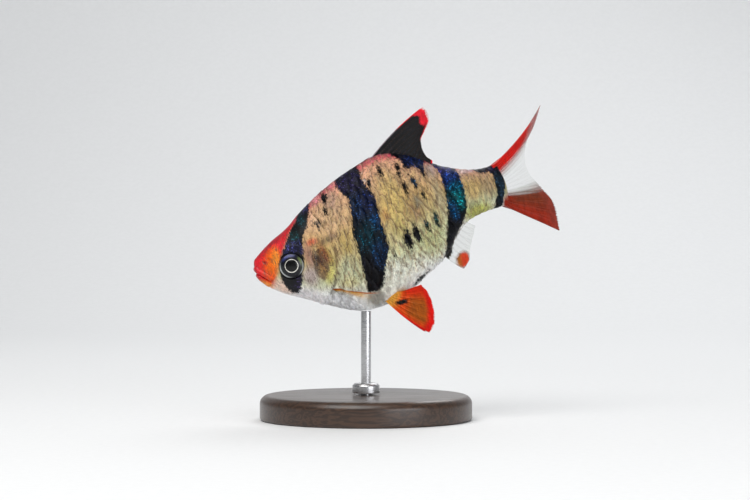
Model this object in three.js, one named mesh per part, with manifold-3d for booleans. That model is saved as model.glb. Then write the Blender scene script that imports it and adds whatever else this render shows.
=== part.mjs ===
// A tiger barb at life size, as a still display model on a short stand. Millimetres, +Z up.
// The fish swims towards -X, pitched head down, and its tail sweeps towards +Y.
// The origin is the centre of the underside of the stand's base.
//
// Everything on the fish is placed in its own swimming frame: s runs back along the spine from
// the snout, v runs sideways from the middle plane (the fish's left is negative), and t is the
// height over the line from snout to tail. The spine bends to one side, so s is a true length.
import * as THREE from "three";
import Module from "manifold-3d";

const wasm = await Module();
wasm.setup();

// Pose
const PITCH_DEG = 18.1;
const BEND_DEG = 32;
const BEND_START = 16;
const SNOUT_X = -18.1;
const SNOUT_Z = 24.6;

// Body
const STANDARD_LENGTH = 43.3;
const SNOUT_HEIGHT = -1.2;
const SNOUT_ROUNDING = 0.6;
const BACK_PROFILE = [
  [0, 0.55], [0.9, 1.15], [2.2, 1.95], [4.2, 3.0], [6, 3.7], [7.6, 4.5], [9.1, 5.5],
  [15.3, 8.6], [20, 10.1], [24.5, 10.9], [28, 9.9], [32.7, 6.8], [36.6, 4.75], [40.5, 3.6],
  [STANDARD_LENGTH, 3.5],
];
const BELLY_PROFILE = [
  [0, -2.2], [0.9, -3.45], [2.2, -4.7], [3.8, -6.0], [5.3, -6.95], [7.3, -8.2], [9.35, -9.6],
  [14, -12.1], [18.3, -12.6], [22, -11.9], [26, -10.2], [29.8, -8.4], [34.8, -4.3], [38, -3.5],
  [STANDARD_LENGTH, -3.45],
];
const WIDEST_HEIGHT = [
  [0, -1.2], [6, -2], [12, -2.1], [20, -1.5], [28, -0.2], [36, 0.4], [STANDARD_LENGTH, 0],
];
const HALF_WIDTH = [
  [0, 1.2], [2, 2.05], [6, 3.2], [12, 4.15], [18, 4.35], [25, 3.7], [32, 2.4], [38, 1.55],
  [STANDARD_LENGTH, 1],
];
const BACK_KEEL = [[0, 0.95], [8, 1.0], [20, 1.25], [STANDARD_LENGTH, 1.15]];
const BELLY_KEEL = 0.95;
const BODY_SIDES = 32;
const STATION_STEP = 1.3;
const SNOUT_STATIONS = [0.02, 0.08, 0.2, 0.4, 0.7, 1.1, 1.6, 2.3];

// Gaps and cuts
const GAP = 0.3;
const SLIVER = 0.01;
const FIN_SINK = 1.2;
const HEAD_TO_TRUNK = [
  [10.2, 9.5], [11.4, 5.6], [12.7, 2], [13.1, -1], [12.7, -4], [11.2, -7], [8.9, -9.4], [7.2, -12.5],
];
const TAIL_STEM_START = 34.9;
const MOUTH_LINE = [[-1.5, -0.4], [0, -1.2], [1, -2.15], [1.9, -3.2], [2.6, -3.9], [3.3, -4.6], [4.2, -8.5]];
const GILL_COVER_FRONT = [
  [11.3, 2.7], [10.1, 1.5], [9.6, -0.6], [9.5, -3.0], [8.9, -5.4], [7.6, -7.8], [6.8, -10.4],
];
const GILL_COVER_DEPTH = 0.9;
const GILL_COVER_RISE = 0.14;
const COVER_PARTING = 0.5;
const CUT_REACH = 20;

// Head
const EYE_AT = [6.04, -1.81];
const EYE_RADIUS = 2;
const EYE_DOME = 0.62;
const EYE_ROOT = 1.25;
const EYE_SINK = 0.12;
const EYE_RIM = 0.2;
const PUPIL_RADIUS = 1.12;
const PUPIL_GROOVE = 0.07;
const UPPER_LIP = { front: [0.22, -0.62], corner: [2.15, -2.8] };
const LOWER_LIP = { front: [0.27, -1.82], corner: [1.55, -3.6] };
const LIP_RADIUS = 0.42;
const LIP_SINK = 0.14;
const NOSTRILS = [[2.0, 0.05, 0.26], [2.75, 0.3, 0.32]];
const NOSTRIL_FLAP = [2.38, 0.18, 0.2];
const CHEEK_RIDGE = [[9.2, 0.8], [9.05, -1.8], [8.9, -4.0], [8.0, -5.7], [6.4, -6.3], [4.7, -5.7]];
const CHEEK_RIDGE_RADIUS = 0.18;

// Stand
const BASE_RADIUS = 17;
const BASE_HEIGHT = 4;
const BASE_BEVEL = 0.8;
const BASE_FOOT_BEVEL = 0.3;
const ROD_RADIUS = 0.8;
const ROD_SOCKET_DEPTH = 2.4;
const COLLAR_RADIUS = 2.2;
const COLLAR_HEIGHT = 1.6;
const COLLAR_BEVEL = 0.4;
const ROUND_SIDES = 36;

const rad = THREE.MathUtils.degToRad;
const lerp = THREE.MathUtils.lerp;

// A smooth curve through [x, y] knots: cubic pieces whose slope at a knot is the mean of its two sides.
function curveThrough(knots) {
  const slope = (i) => (knots[i + 1][1] - knots[i][1]) / (knots[i + 1][0] - knots[i][0]);
  const last = knots.length - 1;
  const tangent = (i) => (i === 0 ? slope(0) : i === last ? slope(last - 1) : (slope(i - 1) + slope(i)) / 2);
  return (x) => {
    let i = 0;
    while (i < last - 1 && x > knots[i + 1][0]) i++;
    const span = knots[i + 1][0] - knots[i][0];
    const f = THREE.MathUtils.clamp((x - knots[i][0]) / span, 0, 1);
    const g = 1 - f;
    return (
      knots[i][1] * (1 + 2 * f) * g * g + knots[i + 1][1] * f * f * (3 - 2 * f)
      + span * (tangent(i) * f * g * g - tangent(i + 1) * f * f * g)
    );
  };
}

// A smooth curve through points of any number of coordinates, from 0 at the first to 1 at the last.
function pathThrough(points) {
  const axes = points[0].map((_, k) => curveThrough(points.map((p, i) => [i / (points.length - 1), p[k]])));
  return (f) => axes.map((axis) => axis(f));
}

const backSpline = curveThrough(BACK_PROFILE);
const bellySpline = curveThrough(BELLY_PROFILE);
const widestHeight = curveThrough(WIDEST_HEIGHT);
const widthSpline = curveThrough(HALF_WIDTH);
const backKeel = curveThrough(BACK_KEEL);

// How far the snout has opened from its tip: 0 at the tip and 1 where its rounding ends.
function snoutShare(s) {
  const left = 1 - Math.min(Math.max(s, 0) / SNOUT_ROUNDING, 1);
  return Math.sqrt(1 - left * left);
}

const backHeight = (s) => SNOUT_HEIGHT + (backSpline(s) - SNOUT_HEIGHT) * snoutShare(s);
const bellyHeight = (s) => SNOUT_HEIGHT + (bellySpline(s) - SNOUT_HEIGHT) * snoutShare(s);
const middleHeight = (s) => SNOUT_HEIGHT + (widestHeight(s) - SNOUT_HEIGHT) * snoutShare(s);
const halfWidth = (s) => widthSpline(s) * snoutShare(s);

// The yaw of the spine at s: none in the head, growing smoothly to BEND_DEG at the tail.
function yawAt(s) {
  const f = THREE.MathUtils.clamp((s - BEND_START) / (STANDARD_LENGTH - BEND_START), 0, 1);
  return rad(BEND_DEG) * f * f * (3 - 2 * f);
}

// The spine's own line, summed in short steps, as [forward distance, sideways distance].
const SPINE_STEP = 0.1;
const SPINE = [[0, 0]];
for (let i = 1; i * SPINE_STEP < STANDARD_LENGTH + 20; i++) {
  const yaw = yawAt((i - 0.5) * SPINE_STEP);
  SPINE.push([SPINE[i - 1][0] + Math.cos(yaw) * SPINE_STEP, SPINE[i - 1][1] + Math.sin(yaw) * SPINE_STEP]);
}

// The place of (s, v, t) in the swimming frame once the spine is bent.
function place(s, v, t) {
  const yaw = yawAt(s);
  const at = Math.max(s, 0) / SPINE_STEP;
  const i = Math.min(Math.floor(at), SPINE.length - 2);
  const forward = s < 0 ? s : lerp(SPINE[i][0], SPINE[i + 1][0], at - i);
  const aside = s < 0 ? 0 : lerp(SPINE[i][1], SPINE[i + 1][1], at - i);
  return new THREE.Vector3(forward - v * Math.sin(yaw), aside + v * Math.cos(yaw), t);
}

// A point of the body's section at s. The angle runs from the back, down the left side, to the belly
// and up the right side.
function sectionPoint(s, angle) {
  const upper = Math.cos(angle) >= 0;
  const side = Math.sin(angle);
  const keel = upper ? backKeel(s) : BELLY_KEEL;
  const reach = upper ? backHeight(s) - middleHeight(s) : middleHeight(s) - bellyHeight(s);
  const v = -Math.sign(side) * halfWidth(s) * Math.abs(side) ** keel;
  return [v, middleHeight(s) + reach * Math.cos(angle)];
}

// The body's half width at s and the height t, found by turning the section's formula round.
function halfWidthAt(s, t) {
  const upper = t >= middleHeight(s);
  const reach = upper ? backHeight(s) - middleHeight(s) : middleHeight(s) - bellyHeight(s);
  const cosine = THREE.MathUtils.clamp((t - middleHeight(s)) / reach, -1, 1);
  return halfWidth(s) * Math.sqrt(1 - cosine * cosine) ** (upper ? backKeel(s) : BELLY_KEEL);
}

function geometryOf(vertices, triangles) {
  const g = new THREE.BufferGeometry();
  g.setAttribute("position", new THREE.Float32BufferAttribute(vertices.flatMap((p) => p.toArray()), 3));
  g.setIndex(triangles.flat());
  return g;
}

// A closed three.js geometry as a solid. A vertex that lies nearer than the weld distance to one kept
// before it is made one with it, and triangles that lose a side that way are left out.
function solidOf(geometry, weld = 1e-4) {
  const { position } = geometry.attributes;
  const kept = [];
  const cells = new Map();
  const neighbours = [-1, 0, 1];
  const indexOf = (p) => {
    const [x, y, z] = p.toArray().map((c) => Math.floor(c / weld));
    for (const i of neighbours)
      for (const j of neighbours)
        for (const k of neighbours) {
          const near = cells.get(`${x + i},${y + j},${z + k}`);
          const found = near?.find((index) => kept[index].distanceTo(p) < weld);
          if (found !== undefined) return found;
        }
    const home = `${x},${y},${z}`;
    cells.set(home, [...(cells.get(home) ?? []), kept.length]);
    return kept.push(p) - 1;
  };
  const renumbered = Array.from({ length: position.count }, (_, i) => (
    indexOf(new THREE.Vector3().fromBufferAttribute(position, i))
  ));
  const corners = geometry.index ? [...geometry.index.array].map((i) => renumbered[i]) : renumbered;
  const triangles = [];
  for (let i = 0; i < corners.length; i += 3) {
    const [a, b, c] = corners.slice(i, i + 3);
    if (a !== b && b !== c && c !== a) triangles.push(a, b, c);
  }
  return new wasm.Manifold(new wasm.Mesh({
    numProp: 3,
    vertProperties: new Float32Array(kept.flatMap((p) => p.toArray())),
    triVerts: new Uint32Array(triangles),
  }));
}

// Only the largest closed surface of a solid is kept, so that no loose scrap stays.
function largest(solid) {
  return solid.decompose().reduce((best, piece) => (piece.volume() > best.volume() ? piece : best));
}

function geometryFrom(solid) {
  const mesh = solid.getMesh();
  const g = new THREE.BufferGeometry();
  g.setAttribute("position", new THREE.Float32BufferAttribute(mesh.vertProperties, 3));
  g.setIndex([...mesh.triVerts]);
  return g;
}

// A node: the solid's largest surface, once the slivers that cutting leaves are welded shut.
function meshOf(name, solid, material) {
  const g = geometryFrom(largest(solidOf(geometryFrom(largest(solid)), SLIVER)));
  g.computeVertexNormals();
  const made = new THREE.Mesh(g, material);
  made.name = name;
  return made;
}

// A solid from vertices and triangles that may all be turned inside out, with its faces put outwards.
function outwards(vertices, triangles) {
  const made = solidOf(geometryOf(vertices, triangles));
  return made.volume() > 0 ? made : solidOf(geometryOf(vertices, triangles.map(([a, b, c]) => [a, c, b])));
}

// A closed loft: rings of points from first to last, each ring's end closed by a fan to its middle.
function loft(rings) {
  const n = rings[0].length;
  const vertices = rings.flat();
  const triangles = [];
  for (let i = 0; i < rings.length - 1; i++)
    for (let j = 0; j < n; j++) {
      const a = i * n + j;
      const b = i * n + ((j + 1) % n);
      triangles.push([a, b, b + n], [a, b + n, a + n]);
    }
  [0, rings.length - 1].forEach((ring, end) => {
    const middle = rings[ring].reduce((sum, p) => sum.add(p), new THREE.Vector3()).divideScalar(n);
    vertices.push(middle);
    for (let j = 0; j < n; j++) {
      const [a, b] = [ring * n + j, ring * n + ((j + 1) % n)];
      triangles.push(end ? [a, b, vertices.length - 1] : [b, a, vertices.length - 1]);
    }
  });
  return outwards(vertices, triangles);
}

// Stations along the spine, close together on the blunt snout.
function stations(from, to) {
  const all = [...SNOUT_STATIONS];
  for (let s = 3; s < STANDARD_LENGTH; s += STATION_STEP) all.push(s);
  const clear = from === 0 ? 0.01 : 0.2;
  return [Math.max(from, 0.004), ...all.filter((s) => s > from + clear && s < to - 0.2), to];
}

// The body between two stations as a solid, with its skin moved out by grow, or in where grow is negative.
function bodySolid(from, to, grow = 0) {
  const step = 0.02;
  const ring = (s) => Array.from({ length: BODY_SIDES }, (_, j) => {
    const angle = (j / BODY_SIDES) * 2 * Math.PI;
    const at = (ds, da) => {
      const [v, t] = sectionPoint(s + ds, angle + da);
      return place(s + ds, v, t);
    };
    const here = at(0, 0);
    if (!grow) return here;
    const along = at(step, 0).sub(at(-Math.min(step, s / 2), 0));
    const round = at(0, step).sub(at(0, -step));
    return here.addScaledVector(round.cross(along).normalize(), grow);
  });
  return loft(stations(from, to).map(ring));
}

// A side-view outline of [s, t] points pushed through the head from v = low to v = high.
function prism(outline, low = -CUT_REACH, high = CUT_REACH) {
  const shape = new THREE.Shape(outline.map(([s, t]) => new THREE.Vector2(s, t)));
  const g = new THREE.ExtrudeGeometry(shape, { depth: high - low, bevelEnabled: false, steps: 1 });
  g.rotateX(Math.PI / 2);
  g.translate(0, high, 0);
  return solidOf(g);
}

// A side-view line moved to its right by the distance aside, each point along the normal of the line there.
function moved(line, aside) {
  return line.map(([s, t], i) => {
    const [a, b] = [line[Math.max(i - 1, 0)], line[Math.min(i + 1, line.length - 1)]];
    const length = Math.hypot(b[0] - a[0], b[1] - a[1]);
    return [s + ((b[1] - a[1]) / length) * aside, t - ((b[0] - a[0]) / length) * aside];
  });
}

function smoothLine(points, count) {
  const path = pathThrough(points);
  return Array.from({ length: count + 1 }, (_, i) => path(i / count));
}

// A round bar along a row of points, its radius given at each, closed at both ends.
function bar(points, radii, sides = 8) {
  const rings = points.map((p, i) => {
    const [before, after] = [points[Math.max(i - 1, 0)], points[Math.min(i + 1, points.length - 1)]];
    const along = after.clone().sub(before).normalize();
    const first = new THREE.Vector3(0, 0, 1).cross(along).normalize();
    const second = along.clone().cross(first);
    return Array.from({ length: sides }, (_, j) => {
      const angle = (j / sides) * 2 * Math.PI;
      const out = first.clone().multiplyScalar(Math.cos(angle)).addScaledVector(second, Math.sin(angle));
      return p.clone().addScaledVector(out, radii[i]);
    });
  });
  return loft(rings);
}

// Fins

// A fin's blade. Its rays run from the root line to the tip line. Each ray is a ridge with membrane
// between it and the next, and both faces are split into the same triangles, so that a curled fin never
// crosses itself. Roots and tips are [s, v, t] points, bulge bows the rays towards the leading edge, and
// the half thicknesses taper to the tip.
function finSolid({ rays, roots, tips, bulge, rows, rootHalf, webHalf, ridge, tipHalf }) {
  const rootAt = pathThrough(roots);
  const tipAt = pathThrough(tips);
  const columns = 2 * rays - 1;
  const middle = (a, b) => {
    const [root, tip] = [rootAt(b), tipAt(b)];
    const bow = bulge * (1 - b) * 2 * a * (1 - a);
    const [ds, dt] = [tip[0] - root[0], tip[2] - root[2]];
    const side = Math.sign((tips[0][2] - roots[0][2]) || 1);
    const [s, v, t] = root.map((from, k) => lerp(from, tip[k], a));
    return place(s - side * bow * dt, v, t + side * bow * ds);
  };
  const faces = [[], []];
  for (let i = 0; i <= rows; i++)
    for (let j = 0; j < columns; j++) {
      const [a, b] = [i / rows, j / (columns - 1)];
      const step = 0.01;
      const along = middle(Math.min(a + step, 1), b).sub(middle(Math.max(a - step, 0), b));
      const across = middle(a, Math.min(b + step, 1)).sub(middle(a, Math.max(b - step, 0)));
      const normal = along.cross(across).normalize();
      const web = lerp(rootHalf, webHalf, Math.min(a * 3, 1));
      const half = lerp(web + (j % 2 ? 0 : ridge), tipHalf, a ** 3);
      faces[0].push(middle(a, b).addScaledVector(normal, half));
      faces[1].push(middle(a, b).addScaledVector(normal, -half));
    }
  const at = (i, j, face) => face * (rows + 1) * columns + i * columns + j;
  const triangles = [];
  const quad = (a, b, c, d) => triangles.push([a, b, c], [a, c, d]);
  for (let i = 0; i < rows; i++)
    for (let j = 0; j < columns - 1; j++) {
      const [near, far] = [0, 1].map((face) => [
        at(i, j, face), at(i + 1, j, face), at(i + 1, j + 1, face), at(i, j + 1, face),
      ]);
      quad(...near);
      triangles.push([far[0], far[2], far[1]], [far[0], far[3], far[2]]);
    }
  for (let i = 0; i < rows; i++) {
    quad(at(i, 0, 1), at(i + 1, 0, 1), at(i + 1, 0, 0), at(i, 0, 0));
    quad(at(i, columns - 1, 0), at(i + 1, columns - 1, 0), at(i + 1, columns - 1, 1), at(i, columns - 1, 1));
  }
  for (let j = 0; j < columns - 1; j++) {
    quad(at(0, j, 0), at(0, j + 1, 0), at(0, j + 1, 1), at(0, j, 1));
    quad(at(rows, j, 1), at(rows, j + 1, 1), at(rows, j + 1, 0), at(rows, j, 0));
  }
  return outwards(faces.flat(), triangles);
}

const THIN_FIN = { rows: 6, rootHalf: 0.42, webHalf: 0.25, ridge: 0.14, tipHalf: 0.16 };

const DORSAL_FIN = {
  ...THIN_FIN,
  rays: 11,
  bulge: 0.08,
  roots: [[22.6, 0, 11.3 - FIN_SINK], [28.0, 0, 9.95 - FIN_SINK], [32.4, 0, 7.0 - FIN_SINK]],
  tips: [
    [34.2, 0, 15.9], [34.8, 0, 14.7], [34.4, 0, 13.2], [33.3, 0, 12.1],
    [32.2, 0, 10.9], [31.9, 0, 9.5], [32.1, 0, 8.2], [32.9, 0, 7.2],
  ],
};

const CAUDAL_FIN = {
  rays: 19,
  bulge: -0.1,
  rows: 7,
  rootHalf: 0.75,
  webHalf: 0.25,
  ridge: 0.13,
  tipHalf: 0.15,
  roots: [[STANDARD_LENGTH + GAP, 0, 3.35], [STANDARD_LENGTH + GAP, 0, 0], [STANDARD_LENGTH + GAP, 0, -3.3]],
  tips: [
    [57.1, 1.2, 10.5], [55.0, 1.8, 7.6], [52.8, 2.2, 5.3], [51.1, 1.7, 2.6],
    [50.5, 0.8, 0.1], [51.4, 0.2, -2.6], [52.6, -0.1, -6.0], [51.8, -0.4, -10.3],
  ],
};

const ANAL_FIN = {
  ...THIN_FIN,
  rays: 8,
  bulge: 0.12,
  roots: [[29.6, 0, -8.6 + FIN_SINK], [32.2, 0, -6.4 + FIN_SINK], [34.4, 0, -4.5 + FIN_SINK]],
  tips: [[33.4, 2.6, -11.1], [35.0, 2.7, -10.0], [35.5, 2.0, -8.3], [36.2, 1.1, -6.5], [36.9, 0.5, -5.0]],
};

const PELVIC_FIN = {
  ...THIN_FIN,
  rays: 9,
  bulge: 0.08,
  roots: [[18.5, -1.1, -11.7], [19.6, -1.5, -11.4], [20.6, -1.7, -11.2]],
  tips: [
    [23.3, -3.2, -18.8], [24.4, -3.7, -17.5], [24.9, -4.2, -15.1], [24.8, -4.3, -12.6], [24.2, -4.1, -11.0],
  ],
};

const PECTORAL_FIN = {
  ...THIN_FIN,
  rays: 10,
  bulge: 0.1,
  roots: [[11.4, -3.0, -7.2], [11.8, -3.0, -7.7], [12.1, -2.9, -8.2]],
  tips: [
    [18.8, -7.6, -10.2], [18.7, -8.4, -11.2], [17.3, -8.3, -11.8], [15.4, -6.8, -11.4], [13.9, -5.0, -10.3],
  ],
};

// The same fin on the fish's other side.
function mirrored(fin) {
  const flip = (points) => points.map(([s, v, t]) => [s, -v, t]);
  return { ...fin, roots: flip(fin.roots), tips: flip(fin.tips) };
}

const bodyGrown = bodySolid(0, STANDARD_LENGTH, GAP);

function finClearOfBody(fin) {
  return largest(finSolid(fin).subtract(bodyGrown));
}

// Head

// Everything in front of the line that parts head from trunk, as one side-view outline.
function inFrontOf(line) {
  return [...line, [-CUT_REACH, line.at(-1)[1] - CUT_REACH], [-CUT_REACH, line[0][1] + CUT_REACH]];
}

const headLine = smoothLine(HEAD_TO_TRUNK, 14);
const headRegion = prism(inFrontOf(headLine));
const headAndGap = prism(inFrontOf(moved(headLine, -GAP)));

// The gill cover's region: from its front line back past the head's rear edge.
function gillCoverOutline(grow) {
  const front = moved(smoothLine(GILL_COVER_FRONT, 11), grow);
  return [...front, [30, front.at(-1)[1] - 6], [30, front[0][1] + 0.6]];
}

// An eye: a lens turned about its sideways axis, with a fine groove round the pupil.
function eyeSolid(side, grow) {
  const r = EYE_RADIUS + grow;
  const bulge = (f) => (EYE_DOME + grow) * Math.sqrt(1 - (f / r) ** 2);
  const front = (f, sink = 0) => new THREE.Vector2(f, bulge(f) - sink);
  const behind = (share) => new THREE.Vector2(r * share, -(EYE_ROOT + grow) * Math.sqrt(1 - share * share));
  const pupil = [PUPIL_RADIUS + 0.12, PUPIL_RADIUS, PUPIL_RADIUS - 0.12];
  const groove = grow ? 0 : PUPIL_GROOVE;
  const g = new THREE.LatheGeometry([
    ...[0, 0.45, 0.8, 1].map(behind), front(r * 0.93), front(r * 0.8),
    front(pupil[0]), front(pupil[1], groove), front(pupil[2]), front(0.5), front(0),
  ], 20);
  g.rotateX(side < 0 ? Math.PI : 0);
  const [s, t] = EYE_AT;
  g.translate(s, side * (halfWidthAt(s, t) - EYE_SINK), t);
  return solidOf(g);
}

// The raised edge of the socket, a ring that follows the head's skin round the eye.
function eyeRim(side) {
  const [count, sides] = [20, 6];
  const vertices = [];
  const triangles = [];
  for (let i = 0; i < count; i++) {
    const around = (i / count) * 2 * Math.PI;
    const outward = new THREE.Vector3(Math.cos(around), 0, Math.sin(around));
    const middle = new THREE.Vector3(EYE_AT[0], 0, EYE_AT[1]);
    middle.addScaledVector(outward, EYE_RADIUS + GAP + EYE_RIM * 0.8);
    middle.y = side * (halfWidthAt(middle.x, middle.z) - EYE_RIM * 0.35);
    for (let j = 0; j < sides; j++) {
      const angle = (j / sides) * 2 * Math.PI;
      const p = middle.clone().addScaledVector(outward, EYE_RIM * Math.cos(angle));
      p.y += EYE_RIM * Math.sin(angle);
      vertices.push(p);
      const [a, b] = [i * sides + j, i * sides + ((j + 1) % sides)];
      const next = ((i + 1) % count) * sides;
      triangles.push([a, b, next + ((j + 1) % sides)], [a, next + ((j + 1) % sides), next + j]);
    }
  }
  return outwards(vertices, triangles);
}

// A ridge on the skin of one side along a side-view line, thin at both ends.
function skinRidge(line, side) {
  const sink = CHEEK_RIDGE_RADIUS * 0.3;
  const points = line.map(([s, t]) => new THREE.Vector3(s, side * (halfWidthAt(s, t) - sink), t));
  const swell = (i) => Math.max(0.25, Math.sin((Math.PI * (i + 0.5)) / line.length) ** 0.5);
  return bar(points, line.map((_, i) => CHEEK_RIDGE_RADIUS * swell(i)), 6);
}

// A lip: a bar from one mouth corner round the snout to the other, thinner at the corners.
function lipSolid({ front, corner }) {
  const count = 10;
  const points = [];
  const radii = [];
  for (let i = -count; i <= count; i++) {
    const f = (Math.abs(i) / count) ** 1.3;
    const [s, t] = [lerp(front[0], corner[0], f), lerp(front[1], corner[1], f)];
    points.push(new THREE.Vector3(s, Math.sign(i) * Math.max(halfWidthAt(s, t) - LIP_SINK, 0), t));
    radii.push(LIP_RADIUS * (1 - 0.45 * f ** 3));
  }
  return bar(points, radii);
}

function bead(s, t, radius, side) {
  const g = new THREE.SphereGeometry(radius, 10, 8);
  g.translate(s, side * halfWidthAt(s, t), t);
  return solidOf(g);
}

const SIDES = [["left", -1], ["right", 1]];
const join = (solids) => wasm.Manifold.union(solids);

// A gill cover's thin shell between two depths of the head's skin, grown by grow at its front edge.
function coverShell(rise, depth, grow, low, high) {
  return bodySolid(4, 17, rise)
    .subtract(bodySolid(3.5, 17.5, -depth))
    .intersect(prism(gillCoverOutline(grow), low, high));
}

// The jaw's side of the mouth line, which is moved to its right by the distance aside.
function jawRegion(aside) {
  return prism([...moved(smoothLine(MOUTH_LINE, 14), aside), [-CUT_REACH, -CUT_REACH], [-CUT_REACH, 5]]);
}

function buildHead() {
  const whole = bodySolid(0, 16).intersect(headRegion);
  const ridges = SIDES.flatMap(([, side]) => [eyeRim(side), skinRidge(smoothLine(CHEEK_RIDGE, 12), side)]);
  const flaps = SIDES.map(([, side]) => bead(...NOSTRIL_FLAP, side));
  const pits = SIDES.flatMap(([, side]) => NOSTRILS.map((pit) => bead(...pit, side)));
  const sockets = SIDES.map(([, side]) => eyeSolid(side, GAP));
  const coverRoom = coverShell(GILL_COVER_RISE + 1, GILL_COVER_DEPTH + GAP, GAP, -CUT_REACH, CUT_REACH);

  const skull = join([whole, ...ridges])
    .subtract(join(pits))
    .add(join(flaps))
    .subtract(join([...sockets, coverRoom]))
    .add(lipSolid(UPPER_LIP))
    .subtract(jawRegion(-GAP / 2));
  const jaw = whole.add(lipSolid(LOWER_LIP)).intersect(jawRegion(GAP / 2));
  const covers = SIDES.map(([name, side]) => {
    const [low, high] = side < 0 ? [-CUT_REACH, -COVER_PARTING] : [COVER_PARTING, CUT_REACH];
    const shell = coverShell(GILL_COVER_RISE, GILL_COVER_DEPTH, 0, low, high);
    return [`gill_cover_${name}`, shell.intersect(headRegion)];
  });
  return { skull, jaw, covers };
}

// Materials
const paint = (color, roughness = 0.45) => new THREE.MeshStandardMaterial({ color, roughness });
const MATERIALS = {
  snout: paint(0xe0522a),
  flank: paint(0xd8c48c, 0.4),
  cheek: paint(0xb99a6a, 0.4),
  stem: paint(0xd9bf80, 0.4),
  eye: paint(0x10121a, 0.1),
  blackFin: paint(0x17151f),
  redFin: paint(0xd8371a),
  clearFin: paint(0xb9583c, 0.35),
  amberFin: paint(0xe08a2a, 0.35),
  base: paint(0x2b2523, 0.55),
  steel: new THREE.MeshStandardMaterial({ color: 0xb9bcc0, roughness: 0.3, metalness: 1 }),
};

function buildFish() {
  const fish = new THREE.Group();
  const { skull, jaw, covers } = buildHead();
  const trunk = bodySolid(5, TAIL_STEM_START - GAP / 2).subtract(headAndGap);
  const stem = bodySolid(TAIL_STEM_START + GAP / 2, STANDARD_LENGTH);
  fish.add(meshOf("head", skull, MATERIALS.snout));
  fish.add(meshOf("lower_jaw", jaw, MATERIALS.snout));
  for (const [name, solid] of covers) fish.add(meshOf(name, solid, MATERIALS.cheek));
  for (const [name, side] of SIDES) fish.add(meshOf(`eye_${name}`, eyeSolid(side, 0), MATERIALS.eye));
  fish.add(meshOf("trunk", trunk, MATERIALS.flank));
  fish.add(meshOf("tail_stem", stem, MATERIALS.stem));
  fish.add(meshOf("dorsal_fin", finClearOfBody(DORSAL_FIN), MATERIALS.blackFin));
  fish.add(meshOf("anal_fin", finClearOfBody(ANAL_FIN), MATERIALS.clearFin));
  fish.add(meshOf("tail_fin", finSolid(CAUDAL_FIN), MATERIALS.clearFin));
  for (const [name, side] of SIDES) {
    const [pelvic, pectoral] = [PELVIC_FIN, PECTORAL_FIN].map((fin) => (side < 0 ? fin : mirrored(fin)));
    fish.add(meshOf(`pelvic_fin_${name}`, finClearOfBody(pelvic), MATERIALS.redFin));
    fish.add(meshOf(`pectoral_fin_${name}`, finClearOfBody(pectoral), MATERIALS.amberFin));
  }
  fish.rotation.y = -rad(PITCH_DEG);
  fish.position.set(SNOUT_X, 0, SNOUT_Z);
  fish.updateMatrixWorld(true);
  return fish;
}

// Stand

// A profile of [radius, height] points, listed upwards along its outer side, turned about the upright axis.
function turned(profile) {
  const g = new THREE.LatheGeometry(profile.map(([r, z]) => new THREE.Vector2(r, z)), ROUND_SIDES);
  return solidOf(g.rotateX(Math.PI / 2));
}

// The base: a round plinth with a bevelled top edge and a blind socket for the rod.
function baseSolid() {
  const socket = ROD_RADIUS + GAP;
  const floor = BASE_HEIGHT - ROD_SOCKET_DEPTH;
  return turned([
    [0, 0], [BASE_RADIUS - BASE_FOOT_BEVEL, 0], [BASE_RADIUS, BASE_FOOT_BEVEL],
    [BASE_RADIUS, BASE_HEIGHT - BASE_BEVEL], [BASE_RADIUS - BASE_BEVEL, BASE_HEIGHT],
    [socket, BASE_HEIGHT], [socket, floor], [0, floor],
  ]);
}

// The collar: a ring that sits on the base round the rod.
function collarSolid() {
  const inner = ROD_RADIUS + GAP;
  const [low, high] = [BASE_HEIGHT + GAP, BASE_HEIGHT + GAP + COLLAR_HEIGHT];
  return turned([
    [inner, low], [COLLAR_RADIUS, low], [COLLAR_RADIUS, high - COLLAR_BEVEL],
    [COLLAR_RADIUS - COLLAR_BEVEL, high], [inner, high], [inner, low],
  ]);
}

// The rod: from the socket up to the belly, its top shaped to the skin that it carries.
function rodSolid(fish) {
  const low = BASE_HEIGHT - ROD_SOCKET_DEPTH + GAP;
  const high = SNOUT_Z;
  const skin = bodyGrown.transform(fish.matrixWorld.elements);
  return turned([[0, low], [ROD_RADIUS, low], [ROD_RADIUS, high], [0, high]]).subtract(skin);
}

function buildStand(fish) {
  const stand = new THREE.Group();
  stand.add(meshOf("stand_base", baseSolid(), MATERIALS.base));
  stand.add(meshOf("stand_collar", collarSolid(), MATERIALS.steel));
  stand.add(meshOf("stand_rod", rodSolid(fish), MATERIALS.steel));
  return stand;
}

const model = new THREE.Group();
const fish = buildFish();
model.add(fish, buildStand(fish));

export default model;
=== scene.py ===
"""A life-size tiger barb on a plain display stand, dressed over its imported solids.

The fish is worked out in its own swimming frame, in millimetres: s runs back along the spine from the
snout, v runs sideways (the fish's left is negative), and t is the height over the line from snout to
tail. SwimPose bends and pitches that frame into the model's own frame, in metres.
"""
from __future__ import annotations

import logging
import math
from dataclasses import dataclass, field
from enum import Enum
from functools import cached_property
from typing import Any, Mapping, Sequence

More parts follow.
